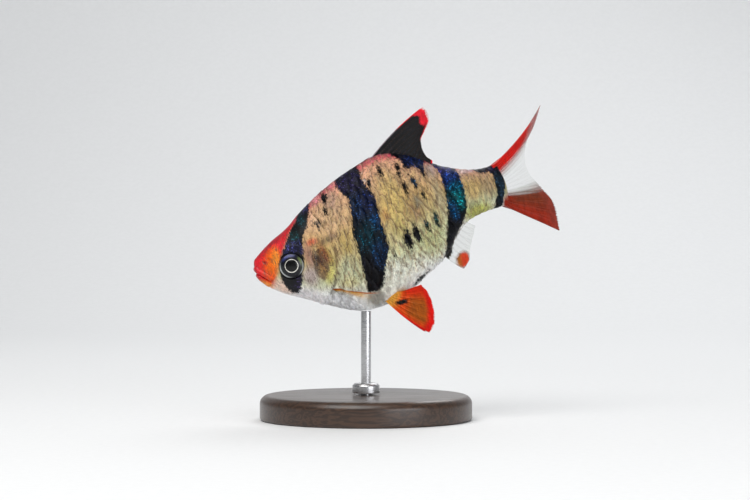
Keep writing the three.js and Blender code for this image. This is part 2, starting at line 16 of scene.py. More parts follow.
import bmesh
import bpy
import numpy as np
import numpy.typing as npt
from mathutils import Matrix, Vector


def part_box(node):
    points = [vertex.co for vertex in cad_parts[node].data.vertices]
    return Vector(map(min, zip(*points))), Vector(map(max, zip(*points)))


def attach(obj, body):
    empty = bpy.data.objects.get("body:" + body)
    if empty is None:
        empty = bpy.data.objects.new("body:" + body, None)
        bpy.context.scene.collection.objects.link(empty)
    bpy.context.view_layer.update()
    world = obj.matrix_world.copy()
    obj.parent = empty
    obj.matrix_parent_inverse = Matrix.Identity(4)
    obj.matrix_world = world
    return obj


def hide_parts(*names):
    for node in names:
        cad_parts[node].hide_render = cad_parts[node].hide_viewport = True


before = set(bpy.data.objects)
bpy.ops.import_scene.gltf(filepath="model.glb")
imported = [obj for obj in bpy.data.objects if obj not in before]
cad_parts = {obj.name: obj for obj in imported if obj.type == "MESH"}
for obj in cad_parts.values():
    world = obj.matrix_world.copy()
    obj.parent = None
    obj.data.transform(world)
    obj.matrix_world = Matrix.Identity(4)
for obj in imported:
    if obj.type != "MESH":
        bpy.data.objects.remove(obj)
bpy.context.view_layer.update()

log = logging.getLogger("tiger_barb")

Array = npt.NDArray[np.float64]
Knots = Sequence[Sequence[float]]

MM = 0.001
GAP = 0.3
LEFT, RIGHT = -1, 1
SEED = 7
TINY_SPAN = 1e-12
TINY_LENGTH = 1e-15
WELD = 1e-7


# Curves, distances and colours


def smoothstep(low: float, high: float, x: Array) -> Array:
    """Rises from 0 at low to 1 at high along 3f^2 - 2f^3.

    Args:
        low: Where the rise starts. It may be above high, and then the curve falls.
        high: Where the rise ends.
        x: The values to map.

    Returns:
        The shares, from 0 to 1.
    """
    f = np.clip((np.asarray(x, float) - low) / (high - low), 0, 1)
    return f * f * (3 - 2 * f)


def hump(distance: Array, width: float) -> Array:
    """A bell of height 1 that falls off as exp(-(distance / width)^2)."""
    return np.exp(-((distance / width) ** 2))


def curve(knots: Knots, x: Array) -> Array:
    """A smooth curve through knots: cubic pieces, with the mean of the two side slopes at each knot.

    Args:
        knots: Pairs of position and value, in rising order of position.
        x: The positions to read. Outside the knots the end values hold.

    Returns:
        The curve's values.
    """
    x = np.asarray(x, float)
    kx, ky = np.array(knots, float).T
    slope = np.diff(ky) / np.diff(kx)
    tangent = np.concatenate([slope[:1], (slope[:-1] + slope[1:]) / 2, slope[-1:]])
    i = np.clip(np.searchsorted(kx, x, side="left") - 1, 0, len(kx) - 2)
    span = kx[i + 1] - kx[i]
    f = np.clip((x - kx[i]) / span, 0, 1)
    g = 1 - f
    ends = ky[i] * (1 + 2 * f) * g * g + ky[i + 1] * f * f * (3 - 2 * f)
    return ends + span * (tangent[i] * f * g * g - tangent[i + 1] * f * f * g)


def path(points: Knots, f: Array) -> Array:
    """A smooth path through points, evenly timed from f = 0 at the first to f = 1 at the last.

    Args:
        points: The points, each of any number of coordinates.
        f: Where to read the path.

    Returns:
        The coordinates, in a last axis added to f's shape.
    """
    steps = np.linspace(0, 1, len(points))
    columns = np.array(points, float).T
    return np.stack([curve(list(zip(steps, column)), f) for column in columns], axis=-1)


def distance_to(line: Array, s: Array, t: Array) -> Array:
    """The shortest side-view distance from each (s, t) to a row of straight pieces.

    Args:
        line: The row's corners, one [s, t] each.
        s: Spine distances.
        t: Heights, in the same shape.

    Returns:
        The distances, in the shape of s.
    """
    p = np.stack([s.ravel(), t.ravel()], axis=-1)[:, None, :]
    start, step = line[:-1], np.diff(line, axis=0)
    along = ((p - start) * step).sum(-1) / np.maximum((step**2).sum(-1), TINY_SPAN)
    nearest = start + np.clip(along, 0, 1)[..., None] * step
    return np.linalg.norm(p - nearest, axis=-1).min(1).reshape(s.shape)


def gap_to(outline: Knots, s: Array, t: Array) -> Array:
    """The side-view distance to a closed outline, negative inside it, by counting crossed edges.

    Args:
        outline: The outline's corners, one [s, t] each.
        s: Spine distances.
        t: Heights, in the same shape.

    Returns:
        The signed distances, in the shape of s.
    """
    ring = np.vstack([outline, outline[:1]]).astype(float)
    (s0, t0), (s1, t1) = ring[:-1].T, ring[1:].T
    at_s, at_t = s.ravel()[:, None], t.ravel()[:, None]
    spans = (t0 > at_t) != (t1 > at_t)
    cross = (s1 - s0) * (at_t - t0) / np.where(t1 == t0, TINY_SPAN, t1 - t0) + s0
    inside = ((spans & (at_s < cross)).sum(1) % 2 == 1).reshape(s.shape)
    return distance_to(ring, s, t) * np.where(inside, -1, 1)


def smooth_outline(points: Knots, count: int = 60) -> Array:
    """A closed outline rounded through its points."""
    turns = list(points) + [points[0]]
    return path(turns, np.linspace(0, 1, count, endpoint=False))


def unit(vectors: Array) -> Array:
    """Vectors brought to length 1."""
    return vectors / np.maximum(np.linalg.norm(vectors, axis=-1, keepdims=True), TINY_LENGTH)


def linear(hex_colour: str) -> Array:
    """A colour written as rrggbb, as linear red, green and blue."""
    value = np.array([int(hex_colour[i : i + 2], 16) for i in (0, 2, 4)]) / 255
    return np.where(value <= 0.04045, value / 12.92, ((value + 0.055) / 1.055) ** 2.4)


def washed(base: Array, hex_colour: str, share: Array) -> Array:
    """Base colours washed towards one colour.

    Args:
        base: Colours, in the last axis.
        hex_colour: The wash, as rrggbb.
        share: How much of the wash shows at each place, from 0 to 1.

    Returns:
        The mixed colours.
    """
    return base + (linear(hex_colour) - base) * np.asarray(share)[..., None]


def layered(base: str, layers: Sequence[tuple[str, Array]]) -> Array:
    """A base colour with washes laid over it in order.

    Args:
        base: The base colour, as six hexadecimal digits.
        layers: Each wash's colour and share, all shares in one shape.

    Returns:
        Linear colours, in a last axis of three.
    """
    colour = np.broadcast_to(linear(base), layers[0][1].shape + (3,))
    for shade, share in layers:
        colour = washed(colour, shade, share)
    return colour


# The fish's own frame and form


@dataclass(frozen=True)
class SwimPose:
    """The head-down pitch and the sideways sweep of the spine."""

    pitch: float = math.radians(18.1)
    bend: float = math.radians(32)
    bend_start: float = 16.0
    standard_length: float = 43.3
    snout_x: float = -18.1
    snout_z: float = 24.6
    step: float = 0.1
    steps: int = 640

    def yaw(self, s: Array) -> Array:
        """The spine's heading: none up to bend_start, then a smooth rise to bend at the tail."""
        return self.bend * smoothstep(self.bend_start, self.standard_length, s)

    @cached_property
    def spine(self) -> tuple[Array, Array]:
        """How far forward and aside the spine runs: the running sums of its heading's cosine and sine.

        Returns:
            The ways forward and aside at every spine mark, in millimetres.
        """
        middles = (np.arange(self.steps) + 0.5) * self.step
        heading = self.yaw(middles)
        forward = np.concatenate([[0], np.cumsum(np.cos(heading)) * self.step])
        aside = np.concatenate([[0], np.cumsum(np.sin(heading)) * self.step])
        return forward, aside

    def place(self, s: Array, v: Array, t: Array) -> Array:
        """Points of the swimming frame in the model's frame, in metres.

        The spine is read at s, v is laid off square to its heading, and the whole is pitched about Y.

        Args:
            s: Distances along the spine.
            v: Sideways distances.
            t: Heights.

        Returns:
            The points, in a last axis of three.
        """
        s, v, t = np.broadcast_arrays(*(np.asarray(x, float) for x in (s, v, t)))
        marks = np.arange(self.steps + 1) * self.step
        heading = self.yaw(s)
        forward = np.interp(s, marks, self.spine[0]) + np.minimum(s, 0) - v * np.sin(heading)
        aside = np.interp(s, marks, self.spine[1]) + v * np.cos(heading)
        x = self.snout_x + forward * math.cos(self.pitch) - t * math.sin(self.pitch)
        z = self.snout_z + forward * math.sin(self.pitch) + t * math.cos(self.pitch)
        return np.stack([x, aside, z], axis=-1) * MM


@dataclass(frozen=True)
class BodyForm:
    """The body as one function of the spine distance and the angle round the section."""

    pose: SwimPose = field(default_factory=SwimPose)
    snout_height: float = -1.2
    snout_rounding: float = 0.6
    tail_rounding: float = 1.4
    belly_keel: float = 0.95
    back_knots: Knots = (
        (0, 0.55), (0.9, 1.15), (2.2, 1.95), (4.2, 3.0), (6, 3.7), (7.6, 4.5), (9.1, 5.5), (15.3, 8.6),
        (20, 10.1), (24.5, 10.9), (28, 9.9), (32.7, 6.8), (36.6, 4.75), (40.5, 3.6), (43.3, 3.5),
    )
    belly_knots: Knots = (
        (0, -2.2), (0.9, -3.45), (2.2, -4.7), (3.8, -6.0), (5.3, -6.95), (7.3, -8.2), (9.35, -9.6),
        (14, -12.1), (18.3, -12.6), (22, -11.9), (26, -10.2), (29.8, -8.4), (34.8, -4.3), (38, -3.5),
        (43.3, -3.45),
    )
    widest_knots: Knots = ((0, -1.2), (6, -2), (12, -2.1), (20, -1.5), (28, -0.2), (36, 0.4), (43.3, 0))
    width_knots: Knots = (
        (0, 1.2), (2, 2.05), (6, 3.2), (12, 4.15), (18, 4.35), (25, 3.7), (32, 2.4), (38, 1.55), (43.3, 1),
    )
    back_keel_knots: Knots = ((0, 0.95), (8, 1.0), (20, 1.25), (43.3, 1.15))

    @property
    def end(self) -> float:
        """Where the rounded end of the tail stem closes."""
        return self.pose.standard_length + self.tail_rounding

    def opening(self, s: Array) -> Array:
        """A quarter circle that opens the form at the snout, and another that closes it at the tail.

        Args:
            s: Distances along the spine, in millimetres.

        Returns:
            Shares, 0 at both ends and 1 between them.
        """
        snout = 1 - np.clip(s / self.snout_rounding, 0, 1)
        tail = np.clip((s - self.pose.standard_length) / self.tail_rounding, 0, 1)
        return np.sqrt(np.maximum(1 - snout**2, 0)) * np.sqrt(np.maximum(1 - tail**2, 0))

    def heights(self, s: Array) -> tuple[Array, Array, Array]:
        """The heights of the back, of the widest line and of the belly at s.

        Args:
            s: Distances along the spine, in millimetres.

        Returns:
            Three arrays in the shape of s, in millimetres.
        """
        share = self.opening(s)
        knots = (self.back_knots, self.widest_knots, self.belly_knots)
        rest = np.where(s < 20, self.snout_height, curve(self.widest_knots, s))
        return tuple(rest + (curve(k, s) - rest) * share for k in knots)

    def half_width(self, s: Array) -> Array:
        """Half of the body's greatest width at s."""
        return curve(self.width_knots, s) * self.opening(s)

    def section(self, s: Array, angle: Array) -> tuple[Array, Array]:
        """A point of the section: sideways the width times a power of the sine, upwards the cosine.

        Args:
            s: Distances along the spine.
            angle: The turn from the back, down the left side, to the belly at pi.

        Returns:
            The sideways distances and the heights.
        """
        back, widest, belly = self.heights(s)
        upper = np.cos(angle) >= 0
        side = np.sin(angle)
        keel = np.where(upper, curve(self.back_keel_knots, s), self.belly_keel)
        v = -np.sign(side) * self.half_width(s) * np.abs(side) ** keel
        return v, widest + np.where(upper, back - widest, widest - belly) * np.cos(angle)

    def surface(self, s: Array, angle: Array, lift: Array | float = 0.0) -> Array:
        """Points on the body, moved out along its normal, which is the cross of its two tangents.

        Args:
            s: Distances along the spine.
            angle: The turn round the section.
            lift: How far out each point lies, or in where it is negative.

        Returns:
            The points in the model's frame, in metres.
        """
        step = 0.02
        s, angle, lift = np.broadcast_arrays(*(np.asarray(x, float) for x in (s, angle, lift)))

        def at(ds: Array | float, da: float) -> Array:
            """The bare surface a little further along or round."""
            return self.pose.place(s + ds, *self.section(s + ds, angle + da))

        back_step = np.minimum(step, s / 2)
        ahead_step = np.minimum(step, np.maximum(self.end - s, 1e-4) / 2)
        along = at(ahead_step, 0) - at(-back_step, 0)
        round_ = at(0, step) - at(0, -step)
        normal = unit(np.cross(round_, along))
        return at(0, 0) + normal * lift[..., None] * MM

    def half_width_at(self, s: Array, t: Array) -> Array:
        """The body's half width at s and the height t: the section's formula turned round.

        Args:
            s: Distances along the spine, in millimetres.
            t: Heights, in the same shape.

        Returns:
            Half widths, in millimetres.
        """
        back, widest, belly = self.heights(s)
        upper = t >= widest
        cosine = np.clip((t - widest) / np.where(upper, back - widest, widest - belly), -1, 1)
        keel = np.where(upper, curve(self.back_keel_knots, s), self.belly_keel)
        return self.half_width(s) * np.sqrt(1 - cosine**2) ** keel

    @cached_property
    def arcs(self) -> tuple[Array, Array, Array]:
        """A table of the way round: spine marks, the half girth at each, and the angle at even shares.

        Returns:
            The marks, the half girths and the table, which has a row of angles for each mark.
        """
        marks = np.linspace(2, self.end - 0.05, 260)
        angles = np.linspace(0, math.pi, 400)
        v, t = self.section(marks[:, None], angles[None, :])
        pieces = np.hypot(np.diff(v, axis=1), np.diff(t, axis=1))
        way = np.concatenate([np.zeros((len(marks), 1)), np.cumsum(pieces, axis=1)], axis=1)
        shares = np.linspace(0, 1, 200)
        table = np.array([np.interp(shares * row[-1], row, angles) for row in way])
        return marks, way[:, -1], table

    def half_girth(self, s: Array) -> Array:
        """The way from back to belly over one side at s."""
        return np.interp(s, self.arcs[0], self.arcs[1])

    def widest_arc(self, s: Array) -> Array:
        """The way from the back down to the widest line, where the angle is a right one, at s.

        Args:
            s: Distances along the spine, in millimetres.

        Returns:
            The ways, in millimetres.
        """
        marks, girth, table = self.arcs
        shares = np.array([np.interp(math.pi / 2, row, np.linspace(0, 1, len(row))) for row in table])
        return np.interp(s, marks, shares * girth)

    def angle_at(self, s: Array, arc: Array) -> Array:
        """The angle that lies a given way down from the back, read from the table between its marks.

        Args:
            s: Distances along the spine.
            arc: Ways down from the back. A negative one lies over the back, on the other side.

        Returns:
            The angles.
        """
        marks, _, table = self.arcs
        share = arc / self.half_girth(s)
        past = share > 1
        folded = np.where(past, 2 - share, np.abs(share))
        row = np.interp(s, marks, np.arange(len(marks)))
        column = np.clip(folded, 0, 1) * (table.shape[1] - 1)
        r0 = np.clip(row.astype(int), 0, len(marks) - 2)
        c0 = np.clip(column.astype(int), 0, table.shape[1] - 2)
        fr, fc = row - r0, column - c0
        upper = table[r0, c0] * (1 - fc) + table[r0, c0 + 1] * fc
        lower = table[r0 + 1, c0] * (1 - fc) + table[r0 + 1, c0 + 1] * fc
        angle = upper * (1 - fr) + lower * fr
        return np.where(past, 2 * math.pi - angle, np.where(share < 0, -angle, angle))


# Where things lie on the head, in the side view

HEAD_TO_TRUNK = (
    (10.2, 9.5), (11.4, 5.6), (12.7, 2), (13.1, -1), (12.7, -4), (11.2, -7), (8.9, -9.4), (7.2, -12.5),
)
GILL_COVER_FRONT = (
    (11.3, 2.7), (10.1, 1.5), (9.6, -0.6), (9.5, -3.0), (8.9, -5.4), (7.6, -7.8), (6.8, -10.4),
)
MOUTH_LINE = ((-1.5, -0.4), (0, -1.2), (1, -2.15), (1.9, -3.2))
JAW_FOLD = ((1.9, -3.2), (2.6, -3.9), (3.3, -4.6), (4.0, -6.6))
UPPER_LIP = ((0.22, -0.62), (2.15, -2.8))
LOWER_LIP = ((0.27, -1.82), (1.55, -3.6))
CHEEK_RIDGE = ((9.2, 0.8), (9.05, -1.8), (8.9, -4.0), (8.0, -5.7), (6.4, -6.3), (4.7, -5.7))
NOSTRILS = ((2.0, 0.05, 0.2), (2.75, 0.3, 0.24))
NOSTRIL_FLAP = (2.38, 0.18, 0.16)
EYE_AT = (6.04, -1.81)
EYE_RADIUS = 2.0
EYE_FOLDS = (0.55, 0.88, 1.2)
CHEEK_AT = (10.9, 0.0, -2.4)


def head_edge(t: Array) -> Array:
    """Where the head ends and the scales start, as s at the height t."""
    ends = sorted((height, s) for s, height in HEAD_TO_TRUNK)
    return curve(ends, t)


# Markings


@dataclass(frozen=True)
class Patch:
    """A soft oval of colour on the side of the fish. A positive lean, in degrees, tips its rear end down."""

    colour: str
    s: float
    t: float
    half_along: float
    half_up: float
    lean: float = 0.0
    softness: float = 0.6
    strength: float = 1.0

    def share(self, s: Array, t: Array) -> Array:
        """How much of the patch shows: full in the oval's middle, fading across its edge.

        Args:
            s: Distances along the spine, in millimetres.
            t: Heights, in the same shape.

        Returns:
            Shares from 0 to the patch's strength.
        """
        turn = math.radians(self.lean)
        up = (s - self.s) * math.sin(turn) + (t - self.t) * math.cos(turn)
        along = (s - self.s) * math.cos(turn) - (t - self.t) * math.sin(turn)
        reach = np.hypot(along / self.half_along, up / self.half_up)
        return self.strength * smoothstep(1 + self.softness, 1 - self.softness, reach)


@dataclass(frozen=True)
class Markings:
    """The barb's colours and dark bands, as functions of the side view."""

    body: BodyForm
    eye_band: Knots = (
        (10.4, 8.5), (9.6, 6.2), (8.6, 4.6), (7.2, 3.2), (6.2, 1.85), (5.3, 0.7), (4.5, -0.4), (4.05, -1.6),
        (3.9, -3.0), (4.0, -4.6), (4.6, -5.8), (5.4, -6.2), (6.2, -5.8), (6.9, -4.7), (7.4, -3.3),
        (8.1, -1.8), (8.4, -0.4), (8.8, 0.8), (9.3, 2.2), (10.2, 3.4), (10.9, 4.7), (11.4, 6.0),
        (11.9, 8.0),
    )
    shoulder_band: Knots = (
        (16.0, 10.5), (16.7, 8.7), (16.65, 7.8), (17.3, 6.5), (17.85, 5.4), (17.7, 4.0), (17.3, 1.9),
        (16.9, 0.3), (16.85, -1.3), (16.95, -2.8), (16.7, -4.8), (16.55, -6.8), (16.35, -8.5),
        (16.3, -9.6), (17.5, -9.9), (18.8, -9.6), (19.3, -8.5), (19.8, -7.3), (20.3, -6.1), (21.0, -4.7),
        (21.6, -3.6), (21.5, -2.2), (21.7, -0.7), (21.4, 0.8), (21.7, 2.5), (21.9, 4.1), (21.3, 6.0),
        (20.8, 7.7), (21.0, 9.0), (20.5, 10.4), (19.8, 12.5),
    )
    rear_band: Knots = (
        (31.9, 8.5), (32.2, 6.7), (32.8, 5.3), (32.8, 4.3), (32.6, 3.0), (32.4, 1.2), (31.9, -0.7),
        (31.5, -2.6), (30.95, -3.9), (30.5, -5.4), (30.0, -7.1), (29.6, -8.3), (29.5, -9.9),
        (30.4, -9.6), (31.1, -7.7), (32.2, -6.0), (33.2, -4.9), (34.2, -3.7), (35.0, -2.5),
        (35.4, -1.2), (35.7, 0.2), (36.0, 1.4), (35.9, 2.8), (36.0, 4.0), (35.7, 6.0),
    )
    tail_band: Knots = (
        (39.3, 3.6), (40.0, 2.75), (41.0, 2.7), (41.9, 2.55), (42.2, 1.8), (41.95, 0.6), (41.8, -0.6),
        (41.35, -1.7), (41.0, -2.8), (40.7, -4.2), (42.1, -4.2), (42.7, -2.6), (43.4, -1.4), (44.0, -0.4),
        (44.4, 0.8), (44.6, 1.9), (44.8, 3.2), (44.4, 4.8), (41.6, 4.8), (39.6, 4.6),
    )
    back_blot: Knots = (
        (25.8, 12.0), (26.4, 10.1), (27.1, 9.3), (27.5, 8.5), (27.55, 7.0), (27.8, 5.9), (28.1, 6.9),
        (28.7, 7.4), (29.6, 6.8), (29.95, 5.6), (30.2, 4.9), (30.45, 5.9), (30.8, 6.7), (31.3, 7.4),
        (31.7, 8.8), (30.0, 11.5),
    )
    spots: Sequence[Sequence[float]] = (
        (23.75, 8.1, 0.24, 0.8), (26.6, 7.9, 0.4, 0.55), (26.35, 7.1, 0.2, 0.6), (26.6, 4.45, 0.28, 1.35),
        (28.15, 4.7, 0.27, 0.9), (28.85, 2.4, 0.26, 0.75), (29.6, -2.0, 0.36, 1.1),
        (27.9, -2.7, 0.28, 0.8), (26.05, -3.0, 0.48, 1.35), (24.5, -3.6, 0.55, 1.45),
        (14.25, 6.8, 0.45, 0.85), (13.8, 4.85, 0.28, 0.5), (11.55, 3.55, 0.1, 0.3), (11.9, 3.1, 0.1, 0.4),
        (12.35, 3.45, 0.1, 0.3), (21.6, 6.9, 0.2, 0.5), (21.9, -5.4, 0.12, 0.5),
    )
    vent_mark: Sequence[float] = (24.9, -10.2, 0.35, 1.5)
    flank: Sequence[tuple[float, str]] = (
        (0.0, "F8F8F8"), (0.12, "F0F0E0"), (0.27, "CFD3AA"), (0.45, "C8B883"), (0.62, "C9A86C"),
        # The pinkish-red stop near the top is a painted reddish highlight along the back's edge.
        (0.8, "D0A880"), (0.93, "DDA486"), (0.97, "D85A68"), (1.0, "6A3048"),
    )
    patches: Sequence[Patch] = (
        Patch("D2AE86", 14.2, 3.2, 2.6, 3.0, strength=0.9),
        Patch("BE9A8A", 15.2, 6.2, 1.1, 1.5, strength=0.7),
        Patch("E08C96", 12.7, 7.0, 0.7, 0.8),
        Patch("DC8090", 15.8, 8.6, 0.7, 0.5),
        Patch("BEA664", 15.3, -1.4, 0.8, 2.8, strength=0.9),
        Patch("C4CBA8", 14.8, -5.4, 1.3, 2.2, strength=0.9),
        Patch("DAD29A", 13.8, -7.2, 1.6, 0.9, strength=0.8),
        Patch("F8F8FA", 11.4, -9.9, 4.4, 2.0, 20),
        Patch("6A655A", 17.3, -10.9, 1.5, 1.3, softness=0.35, strength=0.85),
        Patch("CDB56C", 24.2, 3.0, 1.8, 4.6, strength=0.7),
        Patch("C98C48", 22.5, 1.2, 0.5, 0.9, strength=0.7),
        Patch("B0A25C", 24.0, -1.6, 1.0, 1.6, strength=0.6),
        Patch("93734C", 26.9, 0.6, 1.2, 1.9, strength=0.75),
        Patch("A4825A", 26.7, 2.8, 0.8, 0.8, strength=0.5),
        Patch("7F8070", 27.7, 1.7, 0.6, 1.0, strength=0.7),
        Patch("B2A09A", 31.5, 5.8, 0.8, 1.1, strength=0.85),
        Patch("BDB597", 31.2, 1.2, 0.9, 3.2, strength=0.6),
        Patch("B9BE80", 28.3, -5.2, 2.6, 2.6, strength=0.7),
        Patch("E6E8DA", 21.2, -8.4, 1.8, 2.6, strength=0.9),
        Patch("E2B65E", 20.9, -11.6, 1.2, 0.6, -15),
        Patch("DB4450", 31.7, 7.7, 0.5, 0.4),
        Patch("6E6252", 23.9, -6.3, 0.18, 0.9, strength=0.6),
        Patch("E6E0DC", 21.25, 7.7, 0.16, 1.0, strength=0.9),
        Patch("D9B9B2", 37.0, 4.2, 1.0, 0.7),
        Patch("B995A0", 38.8, 4.0, 1.2, 0.5),
        Patch("D8B87C", 37.4, 0.4, 0.9, 1.4, strength=0.9),
        Patch("B9BD62", 37.6, -3.0, 3.2, 1.4, 4),
        Patch("B09A7C", 40.4, 0.4, 1.4, 1.8, strength=0.7),
        Patch("A33A26", 43.8, -2.8, 1.1, 0.9),
        Patch("A87E6C", 9.2, -1.2, 0.9, 2.0, strength=0.9),
        Patch("BCA8AA", 8.4, -4.4, 1.3, 1.6, strength=0.8),
        Patch("F8F4F6", 6.6, -7.4, 3.6, 1.5, 32),
        Patch("F6D8C4", 3.9, -4.6, 1.7, 1.2, 36),
        Patch("D8503E", 10.3, 0.8, 0.8, 0.45, softness=0.9, strength=0.8),
        Patch("3E3A3C", 13.0, 0.4, 1.2, 0.5, -12, softness=0.9, strength=0.8),
        Patch("A49240", 12.2, -2.4, 0.6, 1.6, -6, strength=0.9),
        Patch("CCC46A", 11.5, -4.9, 0.8, 1.5, 24, strength=0.9),
        Patch("84401C", 11.45, -1.7, 0.75, 1.6, -8, softness=0.7),
        Patch("3E180C", 10.8, -2.8, 0.8, 1.5, 6, softness=0.8),
        Patch("94703E", 10.6, -4.3, 0.8, 1.2, 14, strength=0.8),
        Patch("140F12", 10.1, -2.0, 0.55, 0.8, softness=0.9),
        Patch("2E2426", 9.8, -3.3, 0.35, 1.1, 10, softness=0.9, strength=0.8),
    )
    snout: Knots = (
        (-3, -6), (-3, 9), (11, 9), (9.8, 6.6), (8.6, 4.7), (7.2, 3.2), (6.2, 1.9), (4.7, -0.2),
        (4.1, -1.2), (3.7, -2.2), (2.7, -3.3), (2.1, -4.2), (1.4, -5.4),
    )
    snout_patches: Sequence[Patch] = (
        Patch("EE4412", 2.9, -1.6, 1.6, 2.8, 14),
        Patch("F87014", 3.4, -0.5, 1.15, 2.3, 16),
        Patch("FA9A34", 4.0, 0.1, 0.6, 1.3, 14, strength=0.8),
        Patch("F29A50", 3.7, -2.2, 0.5, 1.0, 20, strength=0.8),
        Patch("FFA038", 1.5, -3.6, 1.6, 0.4, 46, strength=0.8),
        Patch("A81828", 2.2, -0.1, 0.3, 0.3, strength=0.7),
        Patch("B01C34", 5.2, 3.3, 4.0, 0.45, -28, strength=0.8),
    )
    nights: Sequence[Patch] = (
        Patch("262A58", 7.0, 0.9, 1.8, 1.0),
        Patch("241C3A", 6.9, -5.2, 1.4, 1.6),
        Patch("123F44", 7.9, 2.7, 0.8, 0.8),
        Patch("14343C", 9.6, 4.6, 0.7, 0.9),
        Patch("2E2A50", 10.6, 6.2, 1.0, 0.7),
        Patch("2A2548", 18.4, 8.4, 2.4, 2.0),
        Patch("1B2858", 20.3, 4.4, 1.2, 1.6),
        Patch("142C50", 18.6, 3.4, 0.9, 2.6),
        Patch("123A66", 20.7, 0.6, 0.8, 1.9),
        Patch("0E3A48", 18.9, -1.2, 1.7, 2.4),
        Patch("12365E", 19.9, -4.4, 1.0, 2.2),
        Patch("3A3478", 33.9, 5.4, 2.2, 1.0),
        Patch("1E3C88", 34.2, 3.5, 1.5, 1.4),
        Patch("0E6486", 34.6, 1.9, 1.3, 1.1),
        Patch("0E8088", 34.2, -0.1, 1.5, 1.5),
        Patch("0E4A78", 33.0, -1.2, 0.8, 1.6),
        Patch("263C4E", 43.0, -0.4, 1.2, 2.6),
        Patch("2A2440", 43.0, 3.2, 2.4, 0.8),
        Patch("1C2A5A", 30.0, 7.6, 2.2, 1.2, 30),
        Patch("2A4C6A", 28.2, 4.7, 0.3, 0.9),
        Patch("22443E", 29.3, -0.6, 1.4, 2.6, 10),
    )

    def height_share(self, s: Array, t: Array) -> Array:
        """How high t lies between belly and back at s, from 0 to 1."""
        back, _, belly = self.body.heights(s)
        return np.clip((t - belly) / np.maximum(back - belly, 0.3), 0, 1)

    def dark_gap(self, s: Array, t: Array) -> Array:
        """The distance to the nearest dark mark, negative inside it: the least over all marks.

        Args:
            s: Distances along the spine, in millimetres.
            t: Heights, in the same shape.

        Returns:
            Distances in millimetres.
        """
        bands = (self.eye_band, self.shoulder_band, self.rear_band, self.tail_band, self.back_blot)
        gap = np.min([gap_to(smooth_outline(band, 3 * len(band)), s, t) for band in bands], axis=0)
        vent_s, vent_t, along, up = self.vent_mark
        slant = ((s - vent_s) * 0.45 + (t - vent_t) * -0.89, (s - vent_s) * 0.89 + (t - vent_t) * 0.45)
        return np.minimum(gap, (np.hypot(slant[0] / along, slant[1] / up) - 1) * along)

    def night(self, s: Array, t: Array) -> Array:
        """The colour inside the dark marks: near black, with blue, teal and purple patches.

        Args:
            s: Distances along the spine, in millimetres.
            t: Heights, in the same shape.

        Returns:
            Linear colours, in a last axis of three.
        """
        colour = layered("0D0D14", [(patch.colour, patch.share(s, t)) for patch in self.nights])
        from_eye = np.hypot(s - EYE_AT[0], t - EYE_AT[1]) - EYE_RADIUS
        for fold in EYE_FOLDS:
            line = hump(from_eye - fold, 0.07) * smoothstep(0.3, 1.2, t - EYE_AT[1])
            colour = washed(colour, "4A4A90", line * 0.7)
        return colour

    def tint(self, s: Array, t: Array) -> Array:
        """The colour between the dark marks: the flank's shades by height, then washes of each patch.

        Args:
            s: Distances along the spine.
            t: Heights, in the same shape.

        Returns:
            Linear colours, in a last axis of three.
        """
        share = self.height_share(s, t)
        stops = np.array([stop for stop, _ in self.flank])
        shades = np.array([linear(shade) for _, shade in self.flank])
        colour = np.stack([np.interp(share, stops, shades[:, k]) for k in range(3)], axis=-1)
        for patch in self.patches:
            colour = washed(colour, patch.colour, patch.share(s, t))
        snout = layered("E0202E", [(patch.colour, patch.share(s, t)) for patch in self.snout_patches])
        fade = 0.35 + 0.5 * smoothstep(-2.6, -4.0, t)
        on_snout = smoothstep(fade, -fade, gap_to(self.snout, s, t))[..., None]
        return colour + (snout - colour) * on_snout

    def dress(self, piece: bpy.types.Object, s: Array, v: Array, t: Array) -> None:
        """Stores a body piece's place on the fish, its tint, its night colour and its dark gap.

        Args:
            piece: The mesh object to store them on.
            s: Distances along the spine, in millimetres.
            v: Ways out to the side, in the same shape.
            t: Heights, in the same shape.
        """
        paint(piece, "fish", np.stack(np.broadcast_arrays(s, v, t), axis=-1), vector=True)
        paint(piece, "tint", self.tint(s, t))
        paint(piece, "night", self.night(s, t))
        paint(piece, "dark_gap", self.dark_gap(s, t))


# Meshes


def grid_quads(rows: int, columns: int, closed: bool = False) -> Array:
    """The quads between the points of a grid that is numbered row by row.

    Args:
        rows: How many rows of points there are.
        columns: How many points a row has.
        closed: Whether each row's last point joins its first.

    Returns:
        Four point numbers a quad.
    """
    i = np.arange(rows - 1)[:, None]
    j = np.arange(columns if closed else columns - 1)[None, :]
    nxt = (j + 1) % columns
    corners = (i * columns + j, i * columns + nxt, (i + 1) * columns + nxt, (i + 1) * columns + j)
    return np.stack(corners, axis=-1).reshape(-1, 4)


def grid_rim(rows: int, columns: int) -> Array:
    """The numbers of a grid's outer points, in order round it."""
    number = np.arange(rows * columns).reshape(rows, columns)
    return np.concatenate([number[0], number[1:, -1], number[-1, -2::-1], number[-2:0:-1, 0]])


def pole_fans(rows: int, columns: int) -> list[list[int]]:
    """Triangles from a closed grid's first and last rows to the two points numbered after the grid.

    Args:
        rows: The grid's rows.
        columns: The grid's columns.

    Returns:
        The triangles' point numbers, the first row's fan before the last row's.
    """
    ring = np.arange(columns)
    following = np.roll(ring, -1)
    last, pole = (rows - 1) * columns, np.full(columns, rows * columns)
    first_fan = np.stack([following, ring, pole], axis=-1)
    last_fan = np.stack([last + ring, last + following, pole + 1], axis=-1)
    return [*first_fan.tolist(), *last_fan.tolist()]


